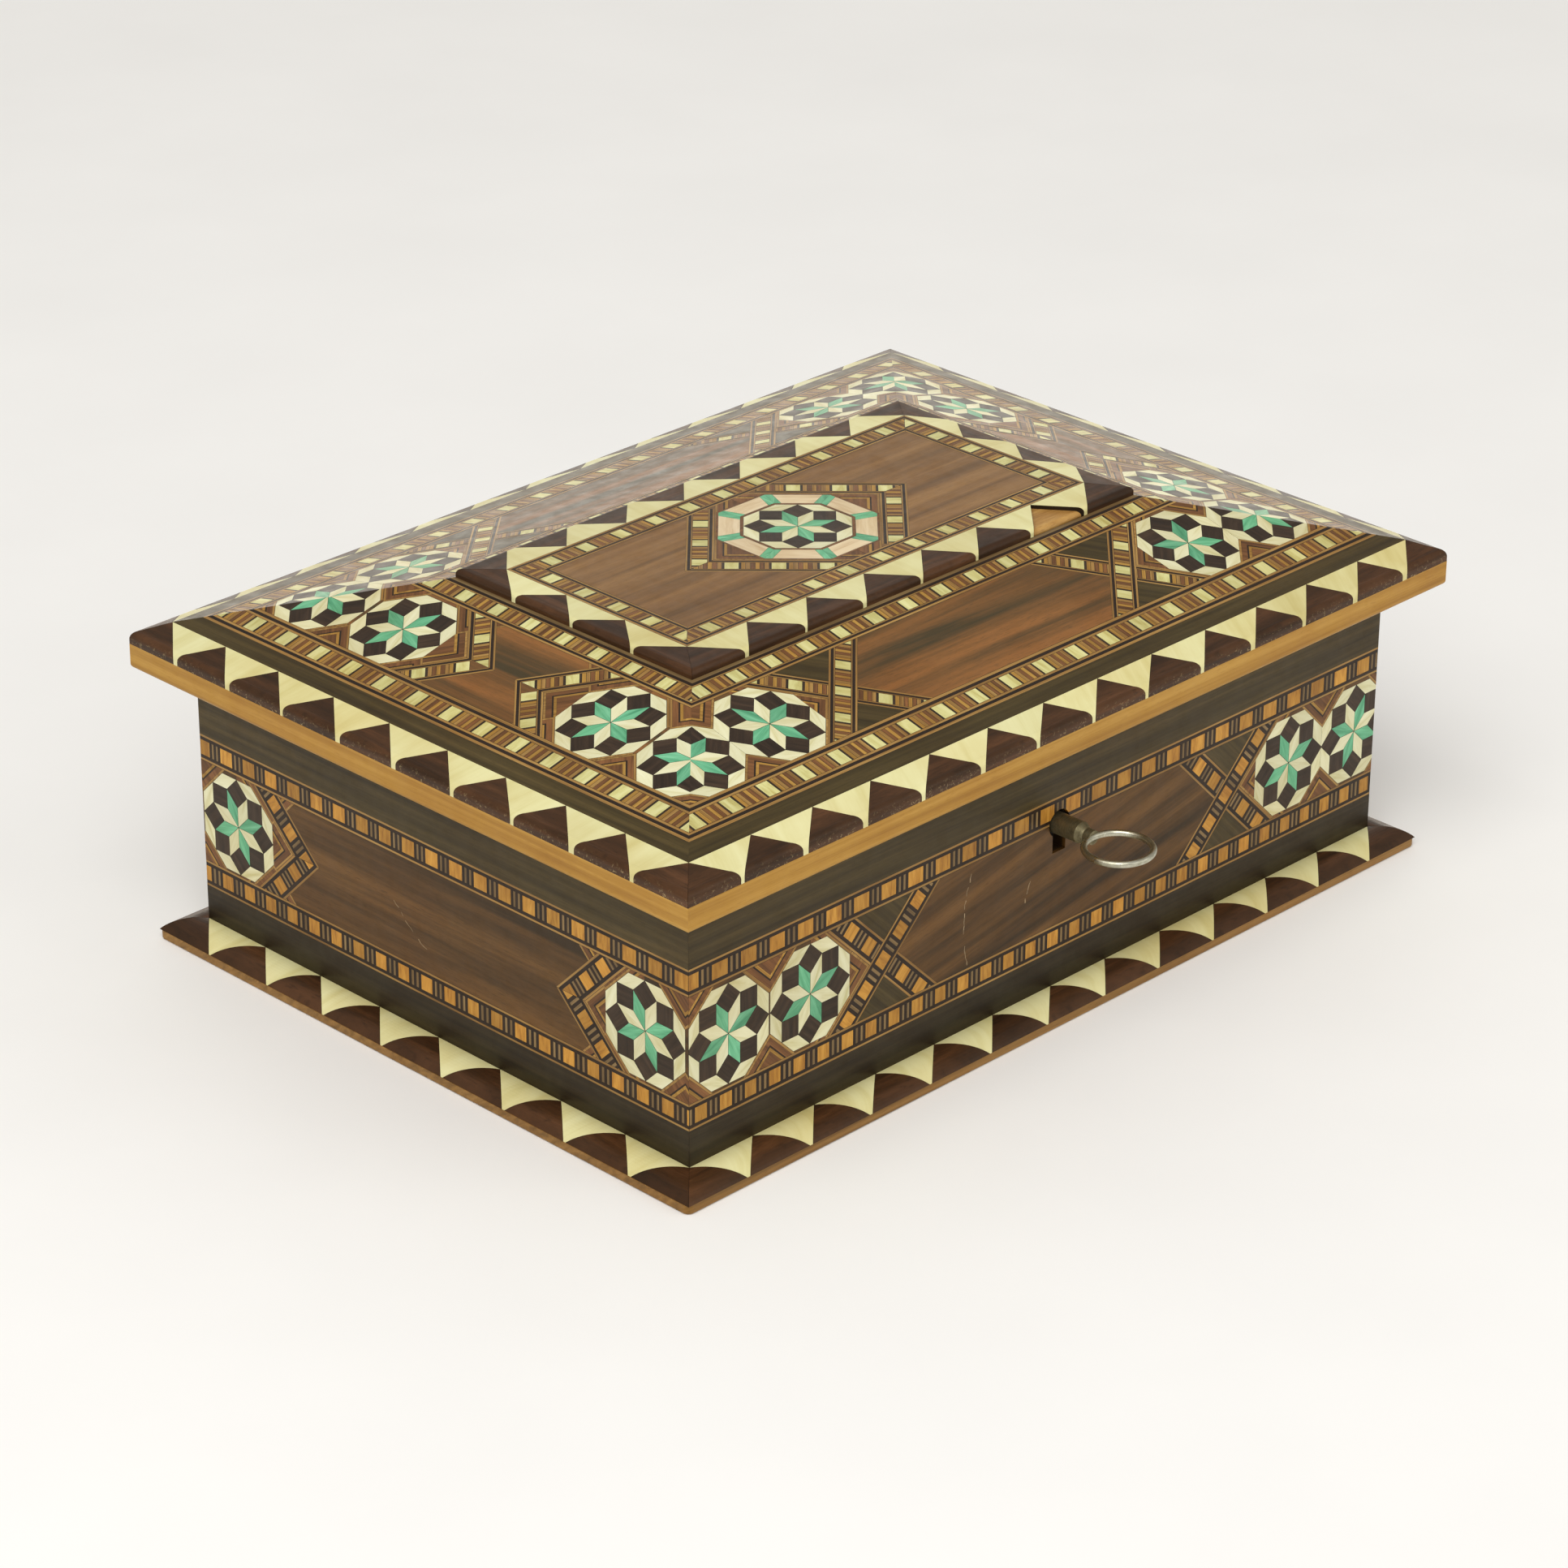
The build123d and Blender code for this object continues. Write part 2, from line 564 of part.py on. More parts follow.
with BuildPart() as lock_case:
    inner_height = LOCK_TOP - LOCK_BOTTOM
    with Locations((LOCK_CENTRE_X, (CASE_FRONT_Y + PLATE_FRONT_Y) / 2,
                    (LOCK_TOP + LOCK_BOTTOM - CASE_SHEET) / 2)):
        Box(CASE_LENGTH, LOCK_DEPTH + CASE_SHEET, inner_height + CASE_SHEET)
    with Locations((LOCK_CENTRE_X, BOLT_MID_Y, (LOCK_TOP + LOCK_BOTTOM) / 2)):
        Box(LOCK_RIGHT - LOCK_LEFT, LOCK_DEPTH, inner_height, mode=Mode.SUBTRACT)
    add(case_keyhole, mode=Mode.SUBTRACT)
save(lock_case.part, "lock_case")

with BuildPart() as lock_bolt:
    with BuildSketch(Plane.XZ.offset(-(BOLT_MID_Y + BOLT_THICKNESS / 2))):
        with BuildLine():
            Polyline(*corner_points(BOLT_LEFT, BOLT_RIGHT, BOLT_LOW, BOLT_HIGH), close=True)
        make_face()
        with BuildLine():
            Polyline(*corner_points(WINDOW_LEFT, WINDOW_RIGHT, WINDOW_LOW, WINDOW_HIGH), close=True)
        make_face(mode=Mode.SUBTRACT)
        with BuildLine():
            Polyline(*corner_points(NOTCH_LEFT, NOTCH_RIGHT, NOTCH_LOW, WINDOW_LOW), close=True)
        make_face(mode=Mode.SUBTRACT)
    extrude(amount=BOLT_THICKNESS)
    with BuildSketch(Plane.XZ.offset(-(BOLT_MID_Y + TONGUE_THICKNESS / 2))):
        with BuildLine():
            Polyline(*corner_points(BOLT_RIGHT, TONGUE_TIP_X, TONGUE_LOW, TONGUE_HIGH), close=True)
        make_face()
    extrude(amount=TONGUE_THICKNESS)
save(lock_bolt.part, "lock_bolt")

with BuildPart() as lock_spring:
    with BuildSketch(Plane.XZ.offset(-(BOLT_MID_Y + SPRING_WIDTH / 2))):
        with BuildLine():
            ThreePointArc(*SPRING_LINE)
        trace(line_width=SPRING_THICKNESS)
    extrude(amount=SPRING_WIDTH)
save(lock_spring.part, "lock_spring")

with BuildPart() as keeper:
    with Locations((STAPLE_X, BOLT_MID_Y, WALL_TOP + LOCK_SHEET / 2)):
        Box(KEEPER_LENGTH, KEEPER_WIDTH, LOCK_SHEET)
    with Locations((STAPLE_X, BOLT_MID_Y, (STAPLE_LOW + WALL_TOP) / 2)):
        Box(STAPLE_THICKNESS, STAPLE_WIDTH, WALL_TOP - STAPLE_LOW)
    with Locations((STAPLE_X, BOLT_MID_Y, (TONGUE_LOW + TONGUE_HIGH) / 2)):
        Box(
            2 * STAPLE_THICKNESS, TONGUE_THICKNESS + 2 * TONGUE_MARGIN,
            TONGUE_HIGH - TONGUE_LOW + 2 * TONGUE_MARGIN, mode=Mode.SUBTRACT,
        )
    with Locations(keeper_screw_places):
        add(screw_hole, mode=Mode.SUBTRACT)
save(keeper.part, "keeper")

# ---- key and the loose pin that it turns on -----------------------------------------------
with BuildPart() as key_pin:
    with BuildSketch(KEY_SECTION):
        with BuildLine():
            Polyline(
                (0, PLATE_BACK_Y + KEY_PIN_HEAD),
                (KEY_PIN_HEAD_RADIUS, PLATE_BACK_Y + KEY_PIN_HEAD),
                (KEY_PIN_HEAD_RADIUS, PLATE_BACK_Y + FIT),
                (KEY_PIN_RADIUS, PLATE_BACK_Y + FIT),
                (KEY_PIN_RADIUS, PLATE_FRONT_Y - FIT),
                (KEY_PIN_COLLAR_RADIUS, PLATE_FRONT_Y - FIT),
                (KEY_PIN_COLLAR_RADIUS, PLATE_FRONT_Y - FIT - KEY_PIN_COLLAR),
                (KEY_PIN_RADIUS, PLATE_FRONT_Y - FIT - KEY_PIN_COLLAR),
                (KEY_PIN_RADIUS, KEY_PIN_TIP_Y),
                (0, KEY_PIN_TIP_Y),
                close=True,
            )
        make_face()
    revolve(axis=KEY_AXIS)
save(key_pin.part, "key_pin")

bow_centre = (KEY_X, BOW_Y, KEY_Z)
neck_start_y = BARREL_END_Y + KEY_NECK_LENGTH

with BuildPart() as key_barrel:
    with BuildSketch(KEY_SECTION):
        with BuildLine():
            Polyline(
                (KEY_PIN_RADIUS + FIT, KEY_TIP_Y),
                (KEY_RADIUS, KEY_TIP_Y),
                (KEY_RADIUS, neck_start_y + KEY_SHOULDER_LENGTH),
                (KEY_NECK_RADIUS, neck_start_y),
                (KEY_NECK_RADIUS, BARREL_END_Y),
                (0, BARREL_END_Y),
                (0, KEY_HOLLOW_END_Y),
                (KEY_PIN_RADIUS + FIT, KEY_HOLLOW_END_Y),
                close=True,
            )
        make_face()
    revolve(axis=KEY_AXIS)
    with Locations(bow_centre):
        Torus(BOW_RADIUS, BOW_WIRE_RADIUS, mode=Mode.SUBTRACT)
save(key_barrel.part, "key_barrel")

bit_middle = KEY_Z - (KEY_BIT_REACH + KEY_BIT_ROOT) / 2

with BuildPart() as key_bit:
    with Locations((KEY_X, BIT_MID_Y, bit_middle)):
        Box(KEY_BIT_THICKNESS, BIT_LENGTH, KEY_BIT_REACH - KEY_BIT_ROOT)
    with Locations(Location((KEY_X, BIT_MID_Y, KEY_Z), (90, 0, 0))):
        Cylinder(KEY_RADIUS, 2 * BIT_LENGTH, mode=Mode.SUBTRACT)
save(key_bit.part, "key_bit")

with BuildPart() as key_bow:
    with Locations(bow_centre):
        Torus(BOW_RADIUS, BOW_WIRE_RADIUS)
save(key_bow.part, "key_bow")
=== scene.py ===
import json
import math
import random

import bmesh
import bpy
import numpy as np
from mathutils import Matrix, Vector
from mathutils.geometry import delaunay_2d_cdt, tessellate_polygon


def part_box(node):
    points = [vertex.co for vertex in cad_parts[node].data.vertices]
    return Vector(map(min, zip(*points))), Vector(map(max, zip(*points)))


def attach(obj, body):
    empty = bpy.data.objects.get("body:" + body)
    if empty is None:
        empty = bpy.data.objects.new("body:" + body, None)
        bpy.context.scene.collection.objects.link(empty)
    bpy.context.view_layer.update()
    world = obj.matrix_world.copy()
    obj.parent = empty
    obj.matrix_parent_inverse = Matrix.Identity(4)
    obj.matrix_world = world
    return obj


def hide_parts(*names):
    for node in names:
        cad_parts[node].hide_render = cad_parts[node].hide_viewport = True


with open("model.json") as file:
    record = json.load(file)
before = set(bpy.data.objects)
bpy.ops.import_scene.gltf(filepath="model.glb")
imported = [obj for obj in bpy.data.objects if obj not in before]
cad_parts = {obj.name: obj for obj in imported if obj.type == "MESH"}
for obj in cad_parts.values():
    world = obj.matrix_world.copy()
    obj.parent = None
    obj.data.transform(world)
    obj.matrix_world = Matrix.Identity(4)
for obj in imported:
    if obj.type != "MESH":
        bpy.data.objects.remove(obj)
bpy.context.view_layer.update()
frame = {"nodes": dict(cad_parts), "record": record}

# An inlaid wooden box. Patterns are laid out in millimetres on flat panels, whose places come
# from the frame, and every piece of wood in them becomes a face of one closed sheet.
MM = 0.001
EIGHTH = 45.0                       # the pattern's angle, in degrees
ROOT2 = math.sqrt(2)

# ---- the places that the frame gives, in millimetres ----


def box_mm(node):
    low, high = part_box(node)
    return [c / MM for c in low], [c / MM for c in high]


def heights(node):
    return [corner[2] for corner in box_mm(node)]


SIDE_NAMES = ("front", "back", "left", "right")


def ring_half(name):
    """Half the size along X and along Y of the rectangle that four side pieces make."""
    boxes = [box_mm(f"{name}_{side}") for side in SIDE_NAMES]
    return max(high[0] for low, high in boxes), max(high[1] for low, high in boxes)


OUTWARD = {"front": (0, -1), "back": (0, 1), "left": (-1, 0), "right": (1, 0)}
BODY_HALF = ring_half("wall_marquetry")
LID_HALF = ring_half("lid_rim")
BASE_HALF = ring_half("base_rim")
PLATFORM_HALF = ring_half("platform_rim")
SLOPE_HALF = ring_half("lid_marquetry")
PANEL_HALF = box_mm("platform_marquetry")[1][:2]
WALL_LOW, WALL_HIGH = heights("wall_marquetry_front")
VENEER = BODY_HALF[1] - box_mm("wall_back")[1][1]
LID_RIM_LOW, LID_RIM_TOP = heights("lid_rim_front")
BASE_RIM_LOW, BASE_RIM_TOP = heights("base_rim_front")
PLATFORM_RIM_LOW, PLATFORM_TOP = heights("platform_rim_front")
LID_RIM_WIDTH = LID_HALF[1] - SLOPE_HALF[1]
SLOPE_RUN = SLOPE_HALF[1] - PLATFORM_HALF[1]
SLOPE_RISE = box_mm("lid_marquetry_front")[1][2] - LID_RIM_TOP
SLOPE = math.hypot(SLOPE_RUN, SLOPE_RISE)
MITRE = SLOPE_RUN / SLOPE           # how far a slope's end moves in for each mm up the slope

KEY_LOW, KEY_HIGH = box_mm("key_barrel")
KEYHOLE = Vector(((KEY_LOW[0] + KEY_HIGH[0]) / 2, 0, (KEY_LOW[2] + KEY_HIGH[2]) / 2))

# ---- flat geometry ----


def turned(length, degrees):
    angle = math.radians(degrees)
    return Vector((length * math.cos(angle), length * math.sin(angle)))


def across(direction):
    return Vector((-direction.y, direction.x))


def bearing(way):
    return math.degrees(math.atan2(way.y, way.x))


def area(polygon):
    return sum(a.cross(b) for a, b in zip(polygon, polygon[1:] + polygon[:1])) / 2


def clip(polygon, point, outward):
    """Keeps the part of a convex polygon behind the line through point."""
    kept = []
    for a, b in zip(polygon, polygon[1:] + polygon[:1]):
        da = (a - point).dot(outward)
        db = (b - point).dot(outward)
        if da <= 0:
            kept.append(a)
        if (da < 0 < db) or (db < 0 < da):
            kept.append(a + (b - a) * (da / (da - db)))
    return kept


def shrink(polygon, amount):
    """A convex polygon with every side moved in."""
    smaller = polygon
    for a, b in zip(polygon, polygon[1:] + polygon[:1]):
        if (b - a).length < 1e-4:
            continue
        outward = -across((b - a).normalized())
        smaller = clip(smaller, a - outward * amount, outward)
        if len(smaller) < 3:
            return []
    return smaller


def rectangle(left, low, right, high):
    return [Vector((left, low)), Vector((right, low)), Vector((right, high)), Vector((left, high))]


def circle(centre, radius):
    steps = 40
    return [centre + turned(radius, 360 * k / steps) for k in range(steps)]


# ---- laying a pattern ----
JOINT = 0.035        # half the width of the glue line between two pieces
RELIEF = 0.015       # how far the polished pieces stand above the glue lines
SMALLEST = 0.01      # pieces under this area are left out


class Pattern:
    """Flat pieces of wood laid one over another on a panel. The last one laid is on top."""

    def __init__(self, outline, seed):
        self.outline = outline
        self.tiles = []
        self.chance = random.Random(seed)

    def lay(self, polygon, wood, grain=0.0, joint=JOINT):
        """Lays a convex piece, with its grain at an angle in degrees. A wood of None is a hole."""
        if len(polygon) < 3 or abs(area(polygon)) < SMALLEST:
            return
        if area(polygon) < 0:
            polygon = polygon[::-1]
        if wood is not None and joint > 0:
            self.tiles.append((polygon, "glue", grain, 0.5))
            polygon = shrink(polygon, joint)
            if len(polygon) < 3 or area(polygon) < SMALLEST:
                return
        self.tiles.append((polygon, wood, grain, self.chance.random()))


def cut_all(polygon, cuts):
    for point, outward in cuts:
        if len(polygon) > 2:
            polygon = clip(polygon, point, outward)
    return polygon


def ribbon(pattern, start, end, strips, cell, phase, cuts=(), wobble=0.04):
    """Parallel strips from start to end. The strip whose wood is "core" is filled by cells.

    strips are (width, wood) from the left of the ribbon's way to its right. A cell is a list
    of (length, wood), repeated along the core from phase on. cuts are (point, outward) lines.
    wobble is how much the lengths vary.
    """
    length = (end - start).length
    way = (end - start).normalized()
    left = across(way)
    angle = bearing(way)
    edge = total(strips) / 2

    def piece(near, far, high, low):
        corners = [(near, high), (near, low), (far, low), (far, high)]
        return cut_all([start + way * s + left * t for s, t in corners], cuts)

    for width, wood in strips:
        if wood == "core":
            place = phase
            while place < length:
                for long, cell_wood in cell:
                    long = long * (1 + pattern.chance.uniform(-wobble, wobble))
                    near, far = max(place, 0), min(place + long, length)
                    if far > near:
                        pattern.lay(piece(near, far, edge, edge - width), cell_wood, angle + 90)
                    place += long
        else:
            pattern.lay(piece(0, length, edge, edge - width), wood, angle)
        edge -= width


def rosette(pattern, centre, side, turned_round):
    """An eight-pointed star of rhombi, ringed by squares and rhombi into an octagon."""
    tip = 2 * side * math.cos(math.radians(EIGHTH / 2))
    corner = side * (1 + ROOT2)
    vertex = 2 * corner * math.cos(math.radians(EIGHTH / 2)) - tip

    def spot(radius, angle):
        return centre + turned(radius, angle)

    for k in range(8):
        left = EIGHTH * k
        point = left + EIGHTH / 2
        right = left + EIGHTH
        square = [spot(side, left), spot(tip, left - EIGHTH / 2), spot(corner, left),
                  spot(tip, point)]
        rim = [spot(tip, point), spot(corner, left), spot(vertex, point), spot(corner, right)]
        star = [centre, spot(side, left), spot(tip, point), spot(side, right)]
        green = (k % 2 == 0) != turned_round
        pattern.lay(square, "black", right)
        pattern.lay(rim, "cream", point + 90)
        pattern.lay(star, "green" if green else "cream", point)


def total(strips):
    """The width of all strips together, or the length of a whole cell."""
    return sum(size for size, wood in strips)


def octagon(centre, apothem):
    radius = apothem / math.cos(math.radians(EIGHTH / 2))
    return [centre + turned(radius, EIGHTH * (k + 0.5)) for k in range(8)]


def wedge(pattern, tip, heading, height, layers):
    """Nested right-angled triangles whose right angles lie at tip and open along heading."""
    sideways = across(heading)
    inset = 0.0
    for width, wood in layers:
        apex = tip + heading * inset * ROOT2
        half = height - inset * ROOT2
        if half <= 0:
            break
        base = tip + heading * height
        triangle = [apex, base - sideways * half, base + sideways * half]
        pattern.lay(triangle, wood, bearing(heading) + EIGHTH)
        inset += width


# ---- the pattern's own sizes ----
STAR_SIDE = 3.55
OCTAGON = STAR_SIDE * (1 + ROOT2)                 # its apothem
OCTAGON_FLAT = OCTAGON * math.tan(math.radians(EIGHTH / 2))


def mirrored(strips, core):
    """The same strips on both sides of a core."""
    return strips + [(core, "core")] + strips[::-1]


WALL_STRIPS = mirrored([(0.42, "tan"), (0.53, "dark")], 2.7)
WALL_ARM_STRIPS = mirrored([(0.42, "tan"), (0.53, "dark")], 2.6)
LID_STRIPS = mirrored([(0.6, "tan"), (0.55, "dark"), (0.5, "tan")], 3.2)
LID_ARM_STRIPS = mirrored([(0.38, "tan"), (0.4, "dark"), (0.25, "tan")], 2.5)
LID_INNER_STRIPS = [
    (0.7, "smoke"), (0.5, "dark"), (0.3, "tan"), (2.6, "core"), (0.3, "tan"), (0.4, "dark"),
    (0.45, "tan"),
]
PLATFORM_STRIPS = [
    (0.5, "tan"), (0.4, "dark"), (0.3, "tan"), (2.8, "core"), (0.3, "tan"), (0.4, "dark"),
    (0.4, "tan"),
]


def barred_cell(square, pitch):
    """A square of orange wood, then three dark and two light bars up to the next square."""
    bar = (pitch - square) / 5
    return [(square, "orange")] + 2 * [(bar, "dark"), (bar, "smoke")] + [(bar, "dark")]


def striped_cell(square, pitch):
    """A pale square between black lines, then stripes of warm woods up to the next square."""
    line = 0.36
    woods = ("gold", "tan", "brown", "gold", "brown", "tan")
    stripe = (pitch - square - 2 * line) / len(woods)
    return [(square, "ivory"), (line, "black")] + [(stripe, w) for w in woods] + [(line, "black")]


LID_CELL = striped_cell(2.4, 7.6)
LID_ARM_CELL = striped_cell(2.2, 7.0)
GAP_LAYERS = [(0.4, "tan"), (0.95, "brown"), (0.25, "dark"), (0.5, "gold"), (9, "brown")]
DARK_LAYERS = [(9, "band")]


def nearest_star(u, stars):
    return min((star for star, _ in stars), key=lambda star: abs(star - u))


class Row:
    """A field between two ribbons, with stars, crossing arms and chevrons on one centre line."""

    def __init__(self, pattern, low, high, middle, strips, cell):
        self.pattern = pattern
        self.low = low
        self.high = high
        self.middle = middle
        self.strips = strips
        self.arm = total(strips) / 2
        self.cell = cell
        self.edges = [(Vector((0, high)), Vector((0, 1))), (Vector((0, low)), Vector((0, -1)))]

    def stars(self, places):
        """places are (u, turned round) pairs."""
        for u, _ in places:
            for gap in (u - OCTAGON, u + OCTAGON):
                for up in (1, -1):
                    heading = Vector((0, up))
                    tip = Vector((gap, self.middle + up * OCTAGON_FLAT))
                    height = (self.high if up > 0 else -self.low) - up * tip.y
                    wedge(self.pattern, tip, heading, height, GAP_LAYERS)
        for u, turned_round in places:
            rosette(self.pattern, Vector((u, self.middle)), STAR_SIDE, turned_round)

    def inner_gap(self, tip, star):
        """The nested wedge between a star and the arms that point at it or away from it."""
        heading = Vector((math.copysign(1, star - tip), 0))
        wedge(self.pattern, Vector((tip, self.middle)), heading, abs(star - tip), GAP_LAYERS)

    def crossing(self, u, shifts):
        """Two arms that cross. The rising one is laid over the other.

        shifts say how far along each arm the square nearest the crossing lies from it.
        """
        centre = Vector((u, self.middle))
        reach = (self.high - self.low) / ROOT2 + 2 * self.arm
        for up in (1, -1):
            tip = centre + Vector((0, up * self.arm * ROOT2))
            height = (self.high if up > 0 else -self.low) - up * tip.y
            wedge(self.pattern, tip, Vector((0, up)), height, DARK_LAYERS)
        pitch = total(self.cell)
        for angle, shift in zip((-EIGHTH, EIGHTH), shifts):
            way = turned(reach, angle)
            first = (reach + shift - self.cell[0][0] / 2) % pitch - pitch
            ribbon(self.pattern, centre - way, centre + way, self.strips, self.cell,
                   first, self.edges, 0.02)

    def chevron(self, tip, pointing, phases):
        """Two arms that meet at tip, which points along +u or -u. Each has its own phase."""
        inner = Vector((tip - pointing * self.arm * ROOT2, self.middle))
        reach = self.high - self.low
        for up, phase in zip((1, -1), phases):
            way = Vector((-pointing, up)).normalized()
            mitre = (Vector((0, self.middle)), Vector((0, -up)))
            start = inner - way * self.arm
            ribbon(self.pattern, start, start + way * reach, self.strips, self.cell,
                   phase, self.edges + [mitre])

    def stars_and_crossings(self, stars, places, shifts):
        for u in places:
            star = nearest_star(u, stars)
            self.inner_gap(u + math.copysign(self.arm * ROOT2, star - u), star)
        self.stars(stars)
        for u in places:
            self.crossing(u, shifts)

    def stars_and_chevrons(self, stars, tips, phases):
        """Every chevron points away from its nearest star."""
        for tip in tips:
            star = nearest_star(tip, stars)
            self.inner_gap(tip + math.copysign(2 * self.arm * ROOT2, star - tip), star)
        self.stars(stars)
        for tip in tips:
            self.chevron(tip, math.copysign(1, tip - nearest_star(tip, stars)), phases)


# ---- wall patterns ----
LONG_FIELD_GRAIN = 11.0   # the figure rises to the right, in degrees
LONG_ROW_MIDDLE = 23.35   # the height of the stars' centres
SHORT_ROW_MIDDLE = 23.3
LOWER_RIBBON = 12.1       # the middle of each ribbon on the walls
UPPER_RIBBON = 34.9
RIBBON_HALF = total(WALL_STRIPS) / 2
FIELD_LOW = LOWER_RIBBON + RIBBON_HALF
FIELD_HIGH = UPPER_RIBBON - RIBBON_HALF


def wall_pattern(half, seed, upper_cell, lower_cell, field_grain=0.0):
    pattern = Pattern(rectangle(-half, WALL_LOW, half, WALL_HIGH), seed)
    # The strip below the lower ribbon is darker than the band above it, as painted shade near the
    # floor.
    pattern.lay(rectangle(-half, WALL_LOW, half, LOWER_RIBBON - RIBBON_HALF), "foot", joint=0)
    pattern.lay(rectangle(-half, UPPER_RIBBON + RIBBON_HALF, half, WALL_HIGH), "band", joint=0)
    pattern.lay(rectangle(-half, FIELD_LOW, half, FIELD_HIGH), "field", field_grain)
    pattern.ribbons = ((LOWER_RIBBON, lower_cell), (UPPER_RIBBON, upper_cell))
    return pattern


def wall_ribbons(pattern, half):
    for middle, cell in pattern.ribbons:
        ribbon(pattern, Vector((-half, middle)), Vector((half, middle)), WALL_STRIPS, cell,
               phase=pattern.chance.uniform(-5, 0))


def long_wall(seed, stars, crossings):
    """stars are (u, turned round), crossings are u."""
    half = BODY_HALF[0]
    cells = barred_cell(3.3, 6.0), barred_cell(2.5, 5.2)
    pattern = wall_pattern(half, seed, *cells, LONG_FIELD_GRAIN)
    arm_cell = barred_cell(2.6, 5.4)
    row = Row(pattern, FIELD_LOW, FIELD_HIGH, LONG_ROW_MIDDLE, WALL_ARM_STRIPS, arm_cell)
    row.stars_and_crossings(stars, crossings, (0.6, -0.4))
    wall_ribbons(pattern, half)
    return pattern


def short_wall(seed, stars, tips):
    half = BODY_HALF[1]
    pattern = wall_pattern(half, seed, barred_cell(2.9, 5.5), barred_cell(2.6, 5.4))
    arm_cell = barred_cell(2.5, 5.2)
    row = Row(pattern, FIELD_LOW, FIELD_HIGH, SHORT_ROW_MIDDLE, WALL_ARM_STRIPS, arm_cell)
    row.stars_and_chevrons(stars, tips, (1.0, 0.2))
    wall_ribbons(pattern, half)
    return pattern


# ---- lid patterns ----
EAVE_BAND = 3.5             # the dark band's width, along the lower edge of each slope
OUTER_RIBBON = EAVE_BAND + total(LID_STRIPS) / 2
INNER_RIBBON = SLOPE - total(LID_INNER_STRIPS) / 2
SLOPE_LOW = EAVE_BAND + total(LID_STRIPS)
SLOPE_HIGH = SLOPE - total(LID_INNER_STRIPS)
SLOPE_MIDDLE = 18.4         # how far up the slope the stars' centres lie


def slope_pattern(half, seed):
    top = half - SLOPE * MITRE
    outline = [Vector((-half, 0)), Vector((half, 0)), Vector((top, SLOPE)), Vector((-top, SLOPE))]
    pattern = Pattern(outline, seed)
    pattern.lay(rectangle(-half, 0, half, EAVE_BAND), "band", joint=0)
    pattern.lay(rectangle(-half, SLOPE_LOW, half, SLOPE_HIGH), "rosewood")
    return pattern


def slope_ribbons(pattern, half, phases):
    middles = (OUTER_RIBBON, INNER_RIBBON)
    for middle, strips, phase in zip(middles, (LID_STRIPS, LID_INNER_STRIPS), phases):
        start, end = Vector((-half, middle)), Vector((half, middle))
        ribbon(pattern, start, end, strips, LID_CELL, phase)


def slope_row(pattern):
    return Row(pattern, SLOPE_LOW, SLOPE_HIGH, SLOPE_MIDDLE, LID_ARM_STRIPS, LID_ARM_CELL)


def long_slope(seed, stars, crossings):
    half = SLOPE_HALF[0]
    pattern = slope_pattern(half, seed)
    slope_row(pattern).stars_and_crossings(stars, crossings, (-0.4, 0.3))
    slope_ribbons(pattern, half, (-1.2, -0.6))
    return pattern


def short_slope(seed, stars, tips):
    half = SLOPE_HALF[1]
    pattern = slope_pattern(half, seed)
    slope_row(pattern).stars_and_chevrons(stars, tips, (1.0, 4.0))
    slope_ribbons(pattern, half, (-4.0, -2.0))
    return pattern


# ---- platform pattern ----
MEDALLION = Vector((-0.7, 0.0))
MEDALLION_APOTHEM = 12.85
MEDALLION_INNER = 9.3        # the apothem inside the light bars
MEDALLION_LINE = 0.35        # the brown line's width outside the bars
MEDALLION_BORDER = 0.5       # and inside them
ROSETTE_APOTHEM = 8.75
GREEN_HALF = 1.2             # half the width of the green corner pieces
DIAMOND_REACH = 25.4
DIAMOND_ARM = DIAMOND_REACH * 0.98   # how far each side runs before it is cut off
DIAMOND_PHASE = 2.4
DIAMOND_STEP = 3.8           # how far the lower sides' squares are behind the upper sides'


def frame_piece(k, corners):
    """A piece on side k of the medallion's frame.

    A corner is (apothem, end, inward): it lies inward from the end, -1 or 1, of the side.
    """
    out = turned(1, EIGHTH * k)
    side = across(out)
    flat = math.tan(math.radians(EIGHTH / 2))
    return [MEDALLION + out * apothem + side * end * (apothem * flat - inward)
            for apothem, end, inward in corners]


def medallion(pattern):
    """An octagon framed by light bars with green corner pieces, round a rosette."""
    low, high, gap = MEDALLION_INNER, MEDALLION_APOTHEM, GREEN_HALF
    pattern.lay(octagon(MEDALLION, high + MEDALLION_LINE), "brown")
    for k in range(8):
        bar = [(low, -1, gap), (low, 1, gap), (high, 1, gap), (high, -1, gap)]
        pattern.lay(frame_piece(k, bar), "pink", EIGHTH * k + 90)
        for end in (-1, 1):
            corner = [(low, end, 0), (low, end, gap), (high, end, gap), (high, end, 0)]
            pattern.lay(frame_piece(k, corner), "green", EIGHTH * k, joint=0.01)
    pattern.lay(octagon(MEDALLION, low), "brown")
    pattern.lay(octagon(MEDALLION, low - MEDALLION_BORDER), "cream")
    rosette(pattern, MEDALLION, ROSETTE_APOTHEM / (1 + ROOT2), turned_round=True)


